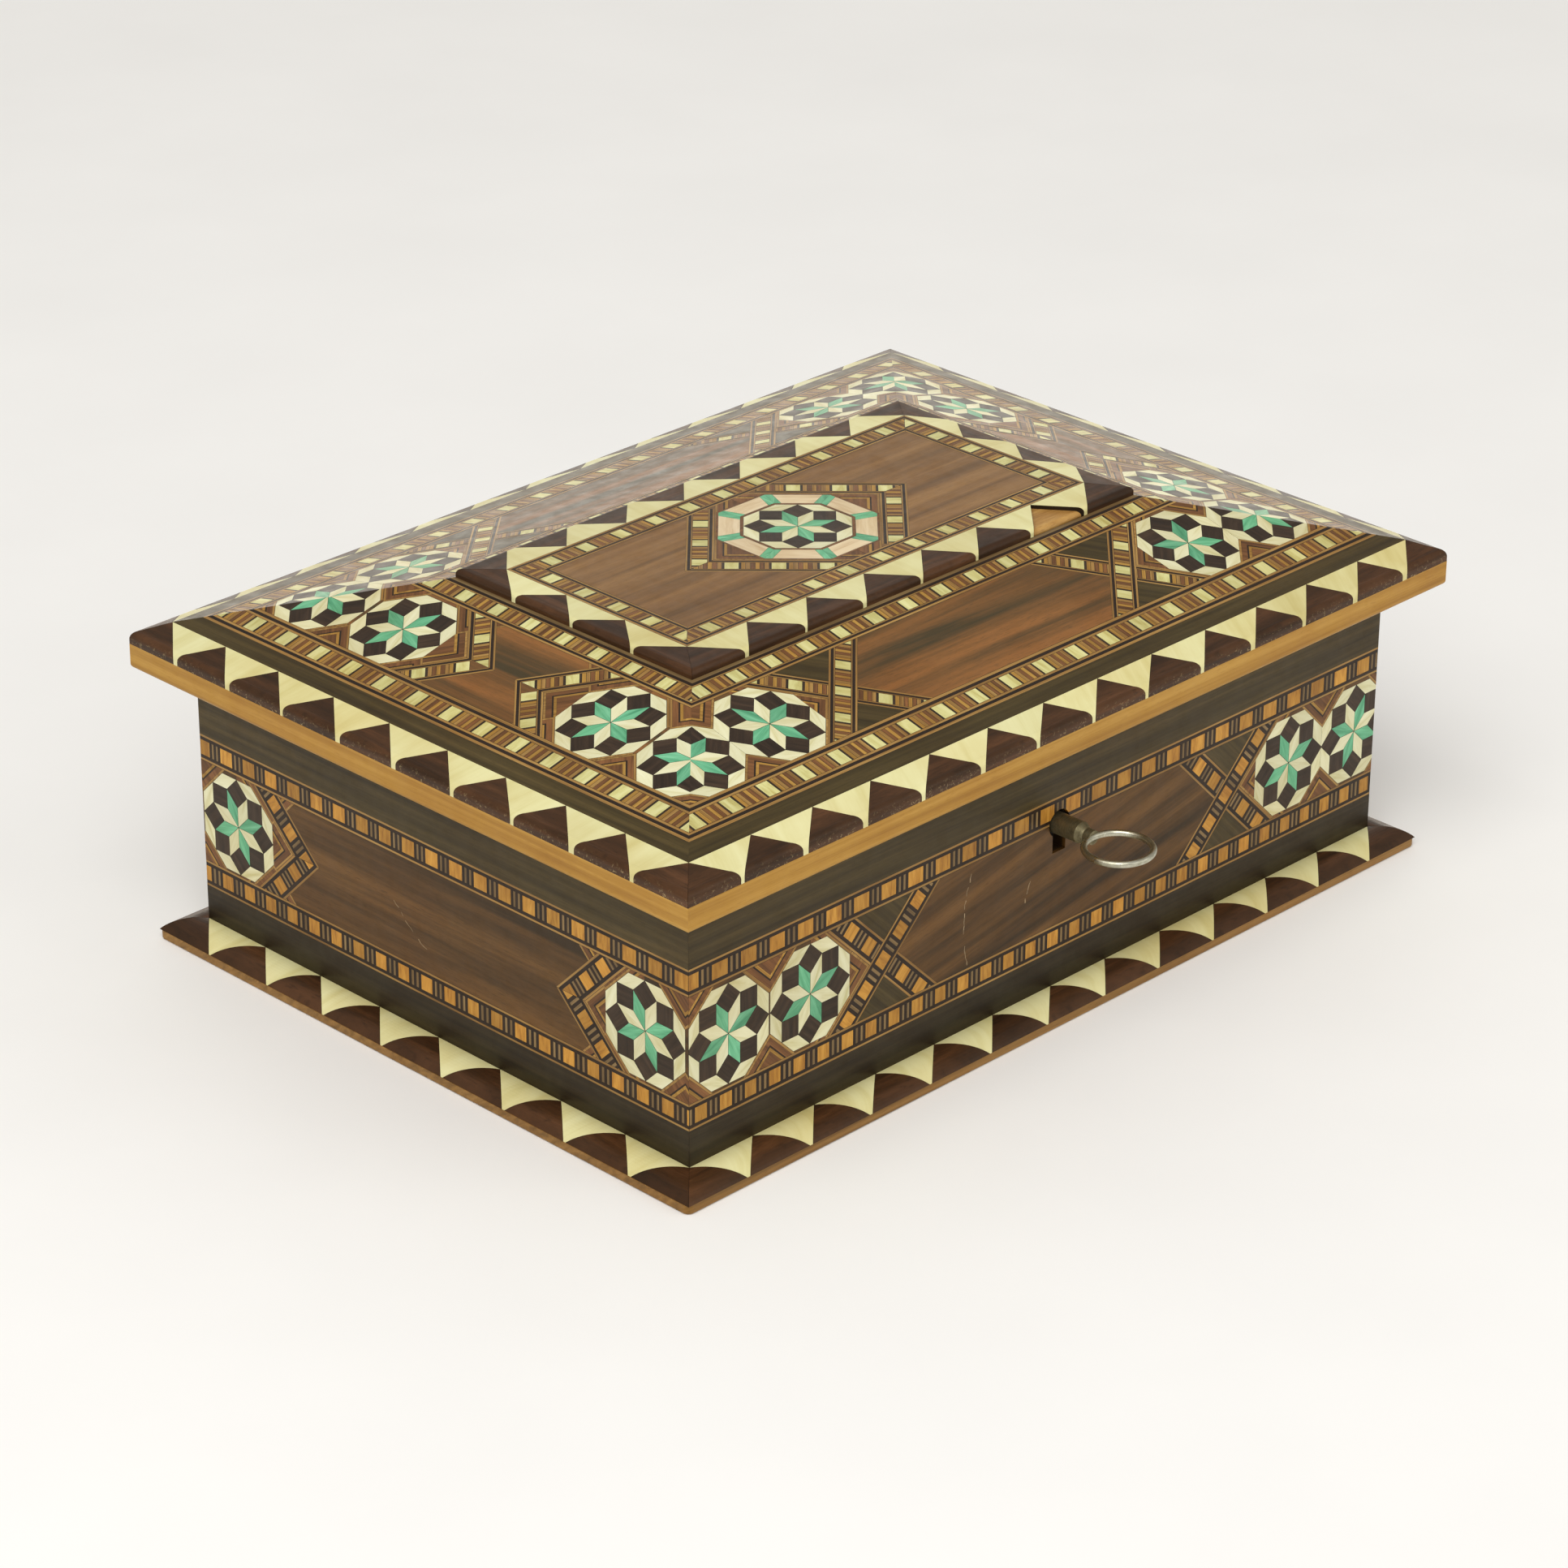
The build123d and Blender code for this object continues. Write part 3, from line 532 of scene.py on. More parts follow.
def diamond(pattern, field_v):
    """The two halves of a diamond round the medallion, cut off by the field's long sides."""
    arm = total(LID_ARM_STRIPS) / 2
    pitch = total(LID_CELL)
    edges = [(Vector((0, field_v)), Vector((0, 1))), (Vector((0, -field_v)), Vector((0, -1)))]
    for pointing in (-1, 1):
        height = DIAMOND_REACH - 2 * arm * ROOT2
        inner = MEDALLION + Vector((pointing * height, 0))
        wedge(pattern, inner, Vector((-pointing, 0)), height, GAP_LAYERS)
    for pointing in (-1, 1):
        inner = MEDALLION + Vector((pointing * (DIAMOND_REACH - arm * ROOT2), 0))
        for up, step in ((1, 0.0), (-1, DIAMOND_STEP)):
            way = Vector((-pointing, up)).normalized()
            start = inner - way * arm
            cuts = edges + [(MEDALLION, Vector((0, -up)))]
            ribbon(pattern, start, start + way * DIAMOND_ARM, LID_ARM_STRIPS, LID_CELL,
                   DIAMOND_PHASE + step - pitch, cuts)


def platform_pattern(seed):
    half_u, half_v = PANEL_HALF
    pattern = Pattern(rectangle(-half_u, -half_v, half_u, half_v), seed)
    width = total(PLATFORM_STRIPS)
    field_u, field_v = half_u - width, half_v - width
    pattern.lay(rectangle(-field_u, -field_v, field_u, field_v), "walnut")
    diamond(pattern, field_v)
    medallion(pattern)
    for k, (reach, length) in enumerate(2 * [(half_v, half_u), (half_u, half_v)]):
        out = turned(1, 90 * k - 90)
        way = across(out)
        middle = out * (reach - width / 2)
        corner = out * reach + way * length
        other = out * reach - way * length
        cuts = [(corner, (way - out).normalized()), (other, (-way - out).normalized())]
        ribbon(pattern, middle - way * length, middle + way * length, PLATFORM_STRIPS[::-1],
               LID_CELL, -1.2, cuts)
    return pattern


# ---- from flat panels to the box ----
PLANK = Vector((700, 300))   # a piece's place on its plank, in mm, is this times its tone
VALID_FACES = 4              # the triangulation's output type that gives whole faces
MERGE = 1e-4                 # corners closer than this are one


def side_axes(side):
    """Outward and along a side. Along runs to the right of someone who faces that side."""
    out = Vector((*OUTWARD[side], 0))
    return out, Vector((-out.y, out.x, 0))


def side_halves(side, halves):
    """Half the length of a side, and the distance from the centre out to it."""
    return halves if side in ("front", "back") else halves[::-1]


def wall_place(side):
    out, along = side_axes(side)
    half, reach = side_halves(side, BODY_HALF)

    def place(u, v, depth):
        inward = u * (half - max(depth, 0)) / half
        return out * (reach - depth) + along * inward + Vector((0, 0, v))

    return place


def slope_place(side):
    out, along = side_axes(side)
    half, reach = side_halves(side, SLOPE_HALF)

    def place(u, v, depth):
        height = LID_RIM_TOP + v * SLOPE_RISE / SLOPE - depth * SLOPE / SLOPE_RUN
        return out * (reach - v * MITRE) + along * u + Vector((0, 0, height))

    return place


def platform_place(u, v, depth):
    return Vector((u, v, PLATFORM_TOP - depth))


def finished(name, mesh, body, replaced):
    piece = bpy.data.objects.new(name, mesh)
    bpy.context.scene.collection.objects.link(piece)
    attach(piece, body)
    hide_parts(*replaced)
    return piece


def inner_point(polygon):
    """A point well inside a flat polygon of any shape."""
    if len(polygon) > 3:
        corners = [(point.x, point.y, 0) for point in polygon]
        triangles = tessellate_polygon([corners])
        polygon = max(([polygon[k] for k in triangle] for triangle in triangles),
                      key=lambda triangle: abs(area(triangle)))
    return sum(polygon, Vector((0, 0))) / len(polygon)


def top_tiles(tiles, flat, faces):
    """For each face, the last tile that covers it, or -1 outside the first, the outline."""
    points = np.array([inner_point([flat[vertex] for vertex in face]) for face in faces])
    tops = np.full(len(faces), -1)
    for index, (polygon, wood, grain, tone) in enumerate(tiles):
        inside = np.ones(len(faces), bool) if index == 0 else tops >= 0
        for a, b in zip(polygon, polygon[1:] + polygon[:1]):
            side = (b.x - a.x) * (points[:, 1] - a.y) - (b.y - a.y) * (points[:, 0] - a.x)
            inside &= side >= 0
        tops[inside] = index
    return tops.tolist()


def inlay_sheet(name, pattern, place, thickness, body, node):
    """Turns a pattern into one closed sheet, with a face for every visible piece of wood.

    Each face corner keeps its place along and across its own grain, and its piece's tone.
    """
    tiles = [(pattern.outline, "glue", 0.0, 0.5)] + pattern.tiles
    corners = []
    outlines = []
    for polygon, wood, grain, tone in tiles:
        outlines.append(list(range(len(corners), len(corners) + len(polygon))))
        corners.extend(polygon)
    flat, _, faces, _, _, _ = delaunay_2d_cdt(corners, [], outlines, VALID_FACES, MERGE, True)
    tops = top_tiles(tiles, flat, faces)
    kept = [(list(face), top) for face, top in zip(faces, tops)
            if top >= 0 and tiles[top][1] is not None]

    raised = set()
    used = set()
    for face, top in kept:
        used.update(face)
        if tiles[top][1] != "glue":
            raised.update(face)
    order = {vertex: index for index, vertex in enumerate(sorted(used))}
    count = len(order)
    verts = []
    for depth in (0, thickness):
        for vertex in order:
            lift = RELIEF if depth == 0 and vertex in raised else 0
            verts.append(place(flat[vertex].x, flat[vertex].y, depth - lift) * MM)

    polygons = []
    woods = []
    grains = []
    names = sorted({tiles[top][1] for face, top in kept})

    def add_face(indices, top, corner_points):
        polygons.append(indices)
        woods.append(names.index(tiles[top][1]))
        _, _, grain, tone = tiles[top]
        angle = math.radians(grain)
        start = PLANK * tone
        for corner in corner_points:
            local = Matrix.Rotation(-angle, 2) @ corner
            grains.append((local.x + start.x, local.y + start.y, tone))

    sides = {}
    for face, top in kept:
        points = [flat[vertex] for vertex in face]
        add_face([order[v] for v in face], top, points)
        add_face([order[v] + count for v in face[::-1]], top, points[::-1])
        for a, b in zip(face, face[1:] + face[:1]):
            if sides.pop((b, a), None) is None:
                sides[(a, b)] = top
    for (a, b), top in sides.items():
        quad = [order[b], order[a], order[a] + count, order[b] + count]
        add_face(quad, top, [flat[b], flat[a], flat[a], flat[b]])

    mesh = bpy.data.meshes.new(name)
    mesh.from_pydata(verts, [], polygons)
    for wood in names:
        mesh.materials.append(material(wood))
    mesh.polygons.foreach_set("material_index", woods)
    layer = mesh.attributes.new("grain", "FLOAT_VECTOR", "CORNER")
    layer.data.foreach_set("vector", [value for grain in grains for value in grain])
    mesh.update()
    return finished(name, mesh, body, [node])


# ---- toothed rims ----
GLUE_DROP = 0.05             # how far the glue lies under the pieces
LOST_DEPTH = 0.7             # how far the bare wood lies under a lost piece
FOOT_SHIFT = 0.2             # how uneven the hand-cut teeth are: where they meet at the foot,
TIP_SHIFT = 0.25             # where their tips stand,
TIP_SPREAD = 0.3             # and how much the tips' widths vary


def arc(start, middle, end, steps):
    """Points on the circle through three points, from start to end."""
    a, b, c = Vector(start), Vector(middle), Vector(end)
    d = 2 * (a.cross(b) + b.cross(c) + c.cross(a))
    squares = (a.dot(a), b.dot(b), c.dot(c))
    x = squares[0] * (b.y - c.y) + squares[1] * (c.y - a.y) + squares[2] * (a.y - b.y)
    y = squares[0] * (c.x - b.x) + squares[1] * (a.x - c.x) + squares[2] * (b.x - a.x)
    centre = Vector((x / d, y / d))
    first = math.atan2(a.y - centre.y, a.x - centre.x)
    last = math.atan2(c.y - centre.y, c.x - centre.x)
    if last > first:
        last -= 2 * math.pi
    radius = (a - centre).length
    angles = [first + (last - first) * k / steps for k in range(steps + 1)]
    return [centre + radius * Vector((math.cos(t), math.sin(t))) for t in angles]


def lid_profile():
    low = LID_RIM_LOW
    rounding = arc((0, low + 0.8), (0.35, low + 1.75), (1.2, low + 2.25), 8)
    return [Vector((0, low))] + rounding + [Vector((LID_RIM_WIDTH, LID_RIM_TOP))]


def base_profile():
    width = BASE_HALF[1] - BODY_HALF[1]
    low = BASE_RIM_LOW
    return arc((0, low), (1.3, low + 1.15), (width, BASE_RIM_TOP), 12)


def platform_profile(side):
    width = side_halves(side, PLATFORM_HALF)[1] - side_halves(side, PANEL_HALF)[1]
    top = PLATFORM_TOP
    rounding = arc((0, top - 1.15), (0.25, top - 0.58), (0.9, top - 0.3), 6)
    return [Vector((0, PLATFORM_RIM_LOW))] + rounding + [Vector((width, top))]


class Rim:
    """One side's row of light teeth, wide at the inner line and pointed at the outer edge."""

    def __init__(self, side, halves, inner_halves, profile, seed):
        self.out, self.along = side_axes(side)
        self.half, self.reach = side_halves(side, halves)
        self.inner_half = side_halves(side, inner_halves)[0]
        self.profile = profile
        self.width = profile[-1].x
        self.chance = random.Random(seed)
        self.mesh = bmesh.new()
        self.grain = self.mesh.loops.layers.float_vector.new("grain")
        self.names = ["glue", "tooth", "rim", "bare"]

    def solid(self, left, right, wood, narrower=0.0, lower=0.0):
        """A piece between two lines, each (u at the outer edge, u at the inner line).

        lower sinks its outside under the profile, and moves it in by half as much.
        """
        section = [Vector((p.x + lower / 2, p.y - lower)) for p in self.profile]
        section[0].y = self.profile[0].y
        section[-1].x = self.width
        section.append(Vector((self.width, self.profile[0].y)))
        rings = []
        for (outer, inner), shift in ((left, narrower), (right, -narrower)):
            ring = []
            for point in section:
                u = outer + (inner - outer) * point.x / self.width + shift
                place = self.out * (self.reach - point.x) + self.along * u
                ring.append(self.mesh.verts.new((place + Vector((0, 0, point.y))) * MM))
            rings.append(ring)
        count = len(section)
        faces = [rings[0][::-1], rings[1]]
        for k in range(count):
            after = (k + 1) % count
            faces.append([rings[0][k], rings[0][after], rings[1][after], rings[1][k]])
        tone = self.chance.random()
        lengthwise = self.out if wood == "tooth" else self.along
        for corners in faces:
            face = self.mesh.faces.new(corners)
            face.material_index = self.names.index(wood)
            for loop in face.loops:
                place = loop.vert.co / MM
                along = place.dot(lengthwise) + tone * PLANK.x
                aside = place.dot(lengthwise.cross(Vector((0, 0, 1)))) + place.z
                loop[self.grain] = Vector((along, aside + tone * PLANK.y, tone))

    def piece(self, left, right, wood):
        self.solid(left, right, "glue", lower=GLUE_DROP)
        self.solid(left, right, wood, narrower=JOINT)

    def teeth(self, count, tip_width, missing=None):
        """tip_width is a light tooth's width at the outer edge. One dark piece may be missing."""
        pitch = 2 * self.inner_half / count
        feet = [-self.inner_half + pitch * k for k in range(count + 1)]
        uneven = self.chance.uniform
        feet[1:-1] = [foot + uneven(-FOOT_SHIFT, FOOT_SHIFT) for foot in feet[1:-1]]
        tips = [(a + b) / 2 + uneven(-TIP_SHIFT, TIP_SHIFT) for a, b in zip(feet, feet[1:])]
        halves = [tip_width / 2 * (1 + uneven(-TIP_SPREAD, TIP_SPREAD)) for _ in tips]
        left_ends = [-self.half] + [tip + half for tip, half in zip(tips, halves)]
        right_ends = [tip - half for tip, half in zip(tips, halves)] + [self.half]
        for k in range(count):
            self.piece((right_ends[k], feet[k]), (left_ends[k + 1], feet[k + 1]), "tooth")
        for k in range(count + 1):
            left, right = (left_ends[k], feet[k]), (right_ends[k], feet[k])
            if k == missing:
                self.solid(left, right, "bare", lower=LOST_DEPTH)
            else:
                self.piece(left, right, "rim")

    def finish(self, name, body, node):
        bmesh.ops.remove_doubles(self.mesh, verts=self.mesh.verts, dist=1e-8)
        bmesh.ops.dissolve_degenerate(self.mesh, edges=self.mesh.edges, dist=1e-8)
        bmesh.ops.recalc_face_normals(self.mesh, faces=self.mesh.faces)
        mesh = bpy.data.meshes.new(name)
        self.mesh.to_mesh(mesh)
        self.mesh.free()
        for wood in self.names:
            mesh.materials.append(material(wood))
        return finished(name, mesh, body, [node])


# ---- materials ----


def srgb(red, green, blue):
    """A colour given as 0 to 255 display values, in the linear form that shaders use."""
    linear = [((c / 255 + 0.055) / 1.055) ** 2.4 if c > 10 else c / 255 / 12.92
              for c in (red, green, blue)]
    return (*linear, 1.0)


class Nodes:
    """A small helper that adds nodes to a material and links them."""

    def __init__(self, name):
        self.material = bpy.data.materials.new(name)
        self.material.use_nodes = True
        self.tree = self.material.node_tree
        self.shader = self.tree.nodes["Principled BSDF"]

    def add(self, kind, inputs=(), **settings):
        node = self.tree.nodes.new(kind)
        for key, value in settings.items():
            setattr(node, key, value)
        for key, value in dict(inputs).items():
            self.set(node.inputs[key], value)
        return node

    def set(self, socket, value):
        if isinstance(value, bpy.types.NodeSocket):
            self.tree.links.new(value, socket)
        else:
            socket.default_value = value

    def shade(self, **inputs):
        for key, value in inputs.items():
            self.set(self.shader.inputs[key.replace("_", " ")], value)

    def ramp(self, factor, stops):
        node = self.add("ShaderNodeValToRGB", {"Fac": factor})
        elements = node.color_ramp.elements
        while len(elements) < len(stops):
            elements.new(0.5)
        for element, (position, colour) in zip(elements, stops):
            element.position = position
            element.color = colour
        return node.outputs["Color"]

    def noise(self, vector, scale, detail, roughness, distortion=0.0):
        node = self.add("ShaderNodeTexNoise", {
            "Vector": vector, "Scale": scale, "Detail": detail, "Roughness": roughness,
            "Distortion": distortion})
        return node.outputs["Fac"]

    def scaled(self, vector, scale, rotation=(0, 0, 0)):
        node = self.add("ShaderNodeMapping", {"Vector": vector, "Scale": scale,
                                              "Rotation": rotation})
        return node.outputs["Vector"]

    def mix(self, factor, first, second, blend="MIX"):
        node = self.add("ShaderNodeMix", data_type="RGBA", blend_type=blend)
        self.set(node.inputs[0], factor)
        self.set(node.inputs[6], first)
        self.set(node.inputs[7], second)
        return node.outputs[2]

    def between(self, value, low, high, to_low, to_high):
        node = self.add("ShaderNodeMapRange", {
            "Value": value, "From Min": low, "From Max": high, "To Min": to_low,
            "To Max": to_high})
        return node.outputs["Result"]

    def bump(self, height, strength, distance):
        node = self.add("ShaderNodeBump", {"Height": height, "Strength": strength,
                                           "Distance": distance})
        return node.outputs["Normal"]

    def millimetres(self):
        """Places on the object, in millimetres."""
        coordinates = self.add("ShaderNodeTexCoord").outputs["Object"]
        return self.scaled(coordinates, (1 / MM, 1 / MM, 1 / MM))


def timber(light, middle, dark, figure, tone, pores, edge=0.20, worn=None):
    """figure is per mm along and across the grain, and tone the change from piece to piece.

    edge is the width of the figure's edges, narrow on a strongly figured wood, and worn the
    colour where the lid's rim is rubbed.
    """
    return dict(colours=(light, middle, dark), figure=figure, tone=tone, pores=pores, edge=edge,
                worn=worn)


WOODS = {
    "cream": timber((230, 228, 192), (221, 217, 176), (202, 195, 142), (0.10, 0.9), 0.07, 0.08),
    "ivory": timber((222, 219, 162), (208, 203, 138), (182, 170, 100), (0.15, 0.8), 0.09, 0.12),
    "tooth": timber((229, 225, 174), (222, 216, 161), (210, 201, 140), (0.03, 0.22), 0.05, 0.05),
    "pink": timber((232, 214, 180), (220, 198, 160), (202, 174, 134), (0.10, 0.8), 0.08, 0.10),
    "green": timber((126, 196, 154), (101, 175, 133), (70, 142, 104), (0.12, 1.1), 0.16, 0.2),
    "orange": timber((206, 154, 68), (186, 133, 52), (148, 98, 36), (0.16, 1.0), 0.24, 0.25),
    "gold": timber((186, 145, 70), (164, 123, 54), (132, 95, 38), (0.06, 1.3), 0.16, 0.3),
    "tan": timber((176, 140, 80), (154, 117, 62), (120, 86, 42), (0.05, 1.6), 0.14, 0.3),
    "smoke": timber((148, 124, 84), (126, 102, 66), (98, 76, 48), (0.05, 1.6), 0.18, 0.3),
    "brown": timber((138, 92, 52), (112, 73, 40), (82, 52, 28), (0.08, 1.3), 0.20, 0.35),
    "dark": timber((52, 34, 21), (38, 24, 15), (26, 16, 10), (0.06, 1.2), 0.18, 0.3),
    "black": timber((68, 51, 37), (51, 37, 26), (34, 24, 16), (0.10, 1.0), 0.20, 0.4),
    "band": timber((84, 69, 36), (66, 54, 25), (47, 37, 15), (0.02, 0.8), 0.05, 0.5),
    # foot is the band's dark wood made darker still, as painted shade along the bottom of the walls
    # near the floor.
    "foot": timber((54, 44, 26), (42, 33, 18), (30, 23, 12), (0.02, 0.8), 0.05, 0.5),
    "field": timber((108, 75, 36), (81, 55, 24), (49, 34, 14), (0.010, 0.22), 0.03, 0.5, 0.14),
    "rosewood": timber((140, 93, 48), (108, 75, 40), (66, 55, 33), (0.007, 0.20), 0.03, 0.5, 0.12),
    "walnut": timber((156, 117, 70), (131, 95, 54), (95, 69, 40), (0.008, 0.22), 0.03, 0.5, 0.16),
    "rim": timber((92, 59, 35), (66, 41, 22), (40, 24, 11), (0.04, 0.7), 0.20, 0.5,
                  worn=(168, 146, 104)),
    "glue": timber((42, 29, 18), (31, 21, 13), (21, 14, 8), (0.1, 0.4), 0.0, 0.2),
    "bare": timber((194, 152, 88), (172, 128, 68), (138, 97, 48), (0.10, 1.0), 0.1, 0.5),
    "scratch": timber((170, 150, 118), (140, 118, 88), (104, 80, 54), (0.8, 0.8), 0.25, 0.3),
    "edge": timber((193, 149, 69), (176, 131, 53), (153, 108, 39), (0.010, 0.35), 0.0, 0.4),
    # A darker copy of the edge wood for the base board, as painted shade at the bottom of the box.
    "shaded_edge": timber((158, 118, 62), (136, 99, 47), (104, 74, 33), (0.010, 0.35), 0.0, 0.4),
    "carcass": timber((182, 146, 98), (160, 122, 78), (126, 90, 54), (0.014, 0.5), 0.0, 0.6),
}
materials = {}


def lid_wear(nodes, place):
    """Where the lower edge of the lid's dark rim is rubbed and chipped, from 0 to 1."""
    height = nodes.add("ShaderNodeSeparateXYZ", {"Vector": place}).outputs["Z"]
    below = nodes.between(height, LID_RIM_LOW - 0.6, LID_RIM_LOW - 0.1, 0.0, 1.0)
    above = nodes.between(height, LID_RIM_LOW + 0.2, LID_RIM_LOW + 1.9, 1.0, 0.0)
    chips = nodes.between(nodes.noise(place, 1.7, 6.0, 0.75, 0.8), 0.57, 0.63, 0.0, 0.8)
    near = nodes.add("ShaderNodeMath", {0: below, 1: above}, operation="MULTIPLY")
    worn = nodes.add("ShaderNodeMath", {0: near.outputs[0], 1: chips}, operation="MULTIPLY")
    return worn.outputs[0]


def wood(nodes, recipe, grain, tone):
    """Long figure, fine pores and a tone of its own for every piece, under aged lacquer."""
    light, middle, dark = (srgb(*colour) for colour in recipe["colours"])
    along, over = recipe["figure"]
    place = nodes.millimetres()
    figure = nodes.noise(nodes.scaled(grain, (along, over, 1.0)), 1.0, 6.0, 0.62, 0.35)
    edge = recipe["edge"]
    colour = nodes.ramp(figure, [(0.5 - edge, dark), (0.5, middle), (0.5 + edge, light)])
    pores = nodes.noise(nodes.scaled(grain, (0.55, 7.0, 1.0)), 1.0, 2.0, 0.5)
    pore_mask = nodes.between(pores, 0.56, 0.72, 0.0, recipe["pores"])
    colour = nodes.mix(pore_mask, colour, dark)
    if tone is not None:
        spread = recipe["tone"]
        value = nodes.between(tone, 0.0, 1.0, 1.0 - spread, 1.0 + spread)
        shade = nodes.add("ShaderNodeHueSaturation", {"Color": colour, "Value": value})
        colour = shade.outputs["Color"]
    age = nodes.noise(place, 0.045, 4.0, 0.6)
    aged = nodes.mix(1.0, colour, srgb(222, 200, 150), "MULTIPLY")
    colour = nodes.mix(nodes.between(age, 0.42, 0.70, 0.0, 0.45), colour, aged)
    if recipe["worn"]:
        colour = nodes.mix(lid_wear(nodes, place), colour, srgb(*recipe["worn"]))
    smudge = nodes.noise(place, 0.35, 5.0, 0.65)
    nodes.shade(
        Base_Color=colour,
        Roughness=nodes.between(smudge, 0.3, 0.75, 0.34, 0.56),
        Normal=nodes.bump(pores, 0.12, 0.00003),
        Specular_IOR_Level=0.25,
        Specular_Tint=(1.0, 0.86, 0.66, 1.0),
        Coat_Weight=0.10,
        Coat_Roughness=0.14,
        Coat_Normal=nodes.bump(nodes.noise(place, 0.55, 3.0, 0.5), 0.10, 0.0004),
    )
    return colour


def material(name):
    """A wood for pieces that store their own grain."""
    if name not in materials:
        nodes = Nodes(name)
        attribute = nodes.add("ShaderNodeAttribute", attribute_name="grain")
        vector = attribute.outputs["Vector"]
        tone = nodes.add("ShaderNodeSeparateXYZ", {"Vector": vector}).outputs["Z"]
        wood(nodes, WOODS[name], vector, tone)
        materials[name] = nodes.material
    return materials[name]


def plank(name, axis, shaded_hole):
    """The same woods for a plain board whose grain runs along X or Y.

    The last argument is the centre of a hole, along the front wall, whose sides are painted dark as
    shade.
    """
    key = f"{name}_{axis}" + ("_blackened" if shaded_hole else "")
    if key not in materials:
        nodes = Nodes(key)
        place = nodes.millimetres()
        grain = place
        if axis == "y":
            grain = nodes.scaled(grain, (1, 1, 1), (0, 0, math.pi / 2))
        tilted = nodes.scaled(grain, (1, 1, 1), (math.radians(35), 0, 0))
        colour = wood(nodes, WOODS[name], tilted, None)
        if shaded_hole:
            flat = nodes.add("ShaderNodeVectorMath", {0: place, 1: (1, 0, 1)}, operation="MULTIPLY")
            gap = nodes.add("ShaderNodeVectorMath", {0: flat.outputs[0], 1: shaded_hole},
                            operation="DISTANCE")
            # Painted shade: the board is darkened within about 5 to 6.5 mm of the keyhole's centre,
            # where the hole's sides lie in shade.
            hole_shade = nodes.between(gap.outputs["Value"], 5.0, 6.5, 0.93, 0.0)
            nodes.shade(Base_Color=nodes.mix(hole_shade, colour, srgb(30, 20, 13)))
        materials[key] = nodes.material
    return materials[key]


def felt():
    nodes = Nodes("felt")
    place = nodes.millimetres()
    fibres = nodes.noise(place, 3.2, 8.0, 0.75, 0.8)
    nap = nodes.noise(place, 0.12, 3.0, 0.5)
    colour = nodes.ramp(fibres, [(0.25, srgb(58, 8, 12)), (0.55, srgb(104, 18, 24)),
                                 (0.80, srgb(140, 40, 44))])
    colour = nodes.mix(nodes.between(nap, 0.35, 0.7, 0.0, 0.4), colour, srgb(70, 10, 16))
    nodes.shade(
        Base_Color=colour,
        Roughness=nodes.between(fibres, 0.2, 0.8, 0.85, 1.0),
        Normal=nodes.bump(fibres, 0.6, 0.00025),
        Sheen_Weight=0.35,
        Sheen_Roughness=0.5,
    )
    return nodes.material


def metal(name, bright, worn, tarnish, roughness, spread=0.85):
    """Metal with fine brushing, and tarnish in cloudy patches as deep as spread."""
    brushed = (0.4, 6.0, 0.4)
    nodes = Nodes(name)
    place = nodes.millimetres()
    clouds = nodes.noise(place, 0.45, 6.0, 0.65, 0.4)
    brushing = nodes.noise(nodes.scaled(place, brushed), 2.0, 4.0, 0.6)
    colour = nodes.ramp(brushing, [(0.3, srgb(*worn)), (0.65, srgb(*bright))])
    patches = nodes.between(clouds, 0.45, 0.68, 0.0, spread)
    nodes.shade(
        Base_Color=nodes.mix(patches, colour, srgb(*tarnish)),
        Metallic=1.0,
        Roughness=nodes.between(clouds, 0.35, 0.7, roughness, roughness + 0.25),
        Normal=nodes.bump(brushing, 0.15, 0.00005),
    )
    return nodes.material


def floor_material():
    nodes = Nodes("studio_floor")
    place = nodes.millimetres()
    paper = nodes.noise(place, 0.02, 4.0, 0.5)
    colour = nodes.ramp(paper, [(0.3, srgb(246, 245, 243)), (0.7, srgb(249, 248, 246))])
    nodes.shade(Base_Color=colour, Roughness=0.7)
    return nodes.material


# ---- build the panels ----
WALLS = {
    "front": long_wall(11, [(-72.0, False), (-54.6, False), (57.9, False), (74.9, True)],
                       (-38.5, 42.2)),
    "back": long_wall(12, [(-73.6, False), (-56.4, True), (56.4, False), (73.6, False)],
                      (-40.4, 40.4)),
    "left": short_wall(13, [(-47.4, False), (46.9, False)], (-27.5, 27.4)),
    "right": short_wall(14, [(-47.2, True), (47.2, False)], (-27.5, 27.5)),
}
SLOPES = {
    "front": long_slope(21, [(-65.1, False), (-48.0, False), (48.2, True), (65.3, False)],
                        (-32.2, 32.2)),
    "back": long_slope(22, [(-65.2, True), (-48.1, False), (48.1, False), (65.2, True)],
                       (-32.2, 32.2)),
    "left": short_slope(23, [(-41.4, True), (-23.6, True), (23.6, True), (41.4, False)],
                        (-2.3, 2.3)),
    "right": short_slope(24, [(-41.4, False), (-23.6, False), (23.6, True), (41.4, True)],
                         (-2.3, 2.3)),
}


def scratch(pattern, ends, bow, breaks):
    """A fine bowed scratch. breaks is the share of it that is broken off."""
    step = 0.7
    stray = 0.18
    start, end = (Vector(place) for place in ends)
    sideways = across((end - start).normalized())
    steps = int((end - start).length / step)
    spots = []
    for k in range(steps + 1):
        t = k / steps
        waver = pattern.chance.uniform(-stray, stray)
        spots.append(start.lerp(end, t) + sideways * (bow * 4 * t * (1 - t) + waver))
    for a, b in zip(spots, spots[1:]):
        if pattern.chance.random() < breaks:
            continue
        half = across((b - a).normalized()) * pattern.chance.uniform(0.05, 0.14)
        pattern.lay([a - half, b - half, b + half, a + half], "scratch", joint=0)


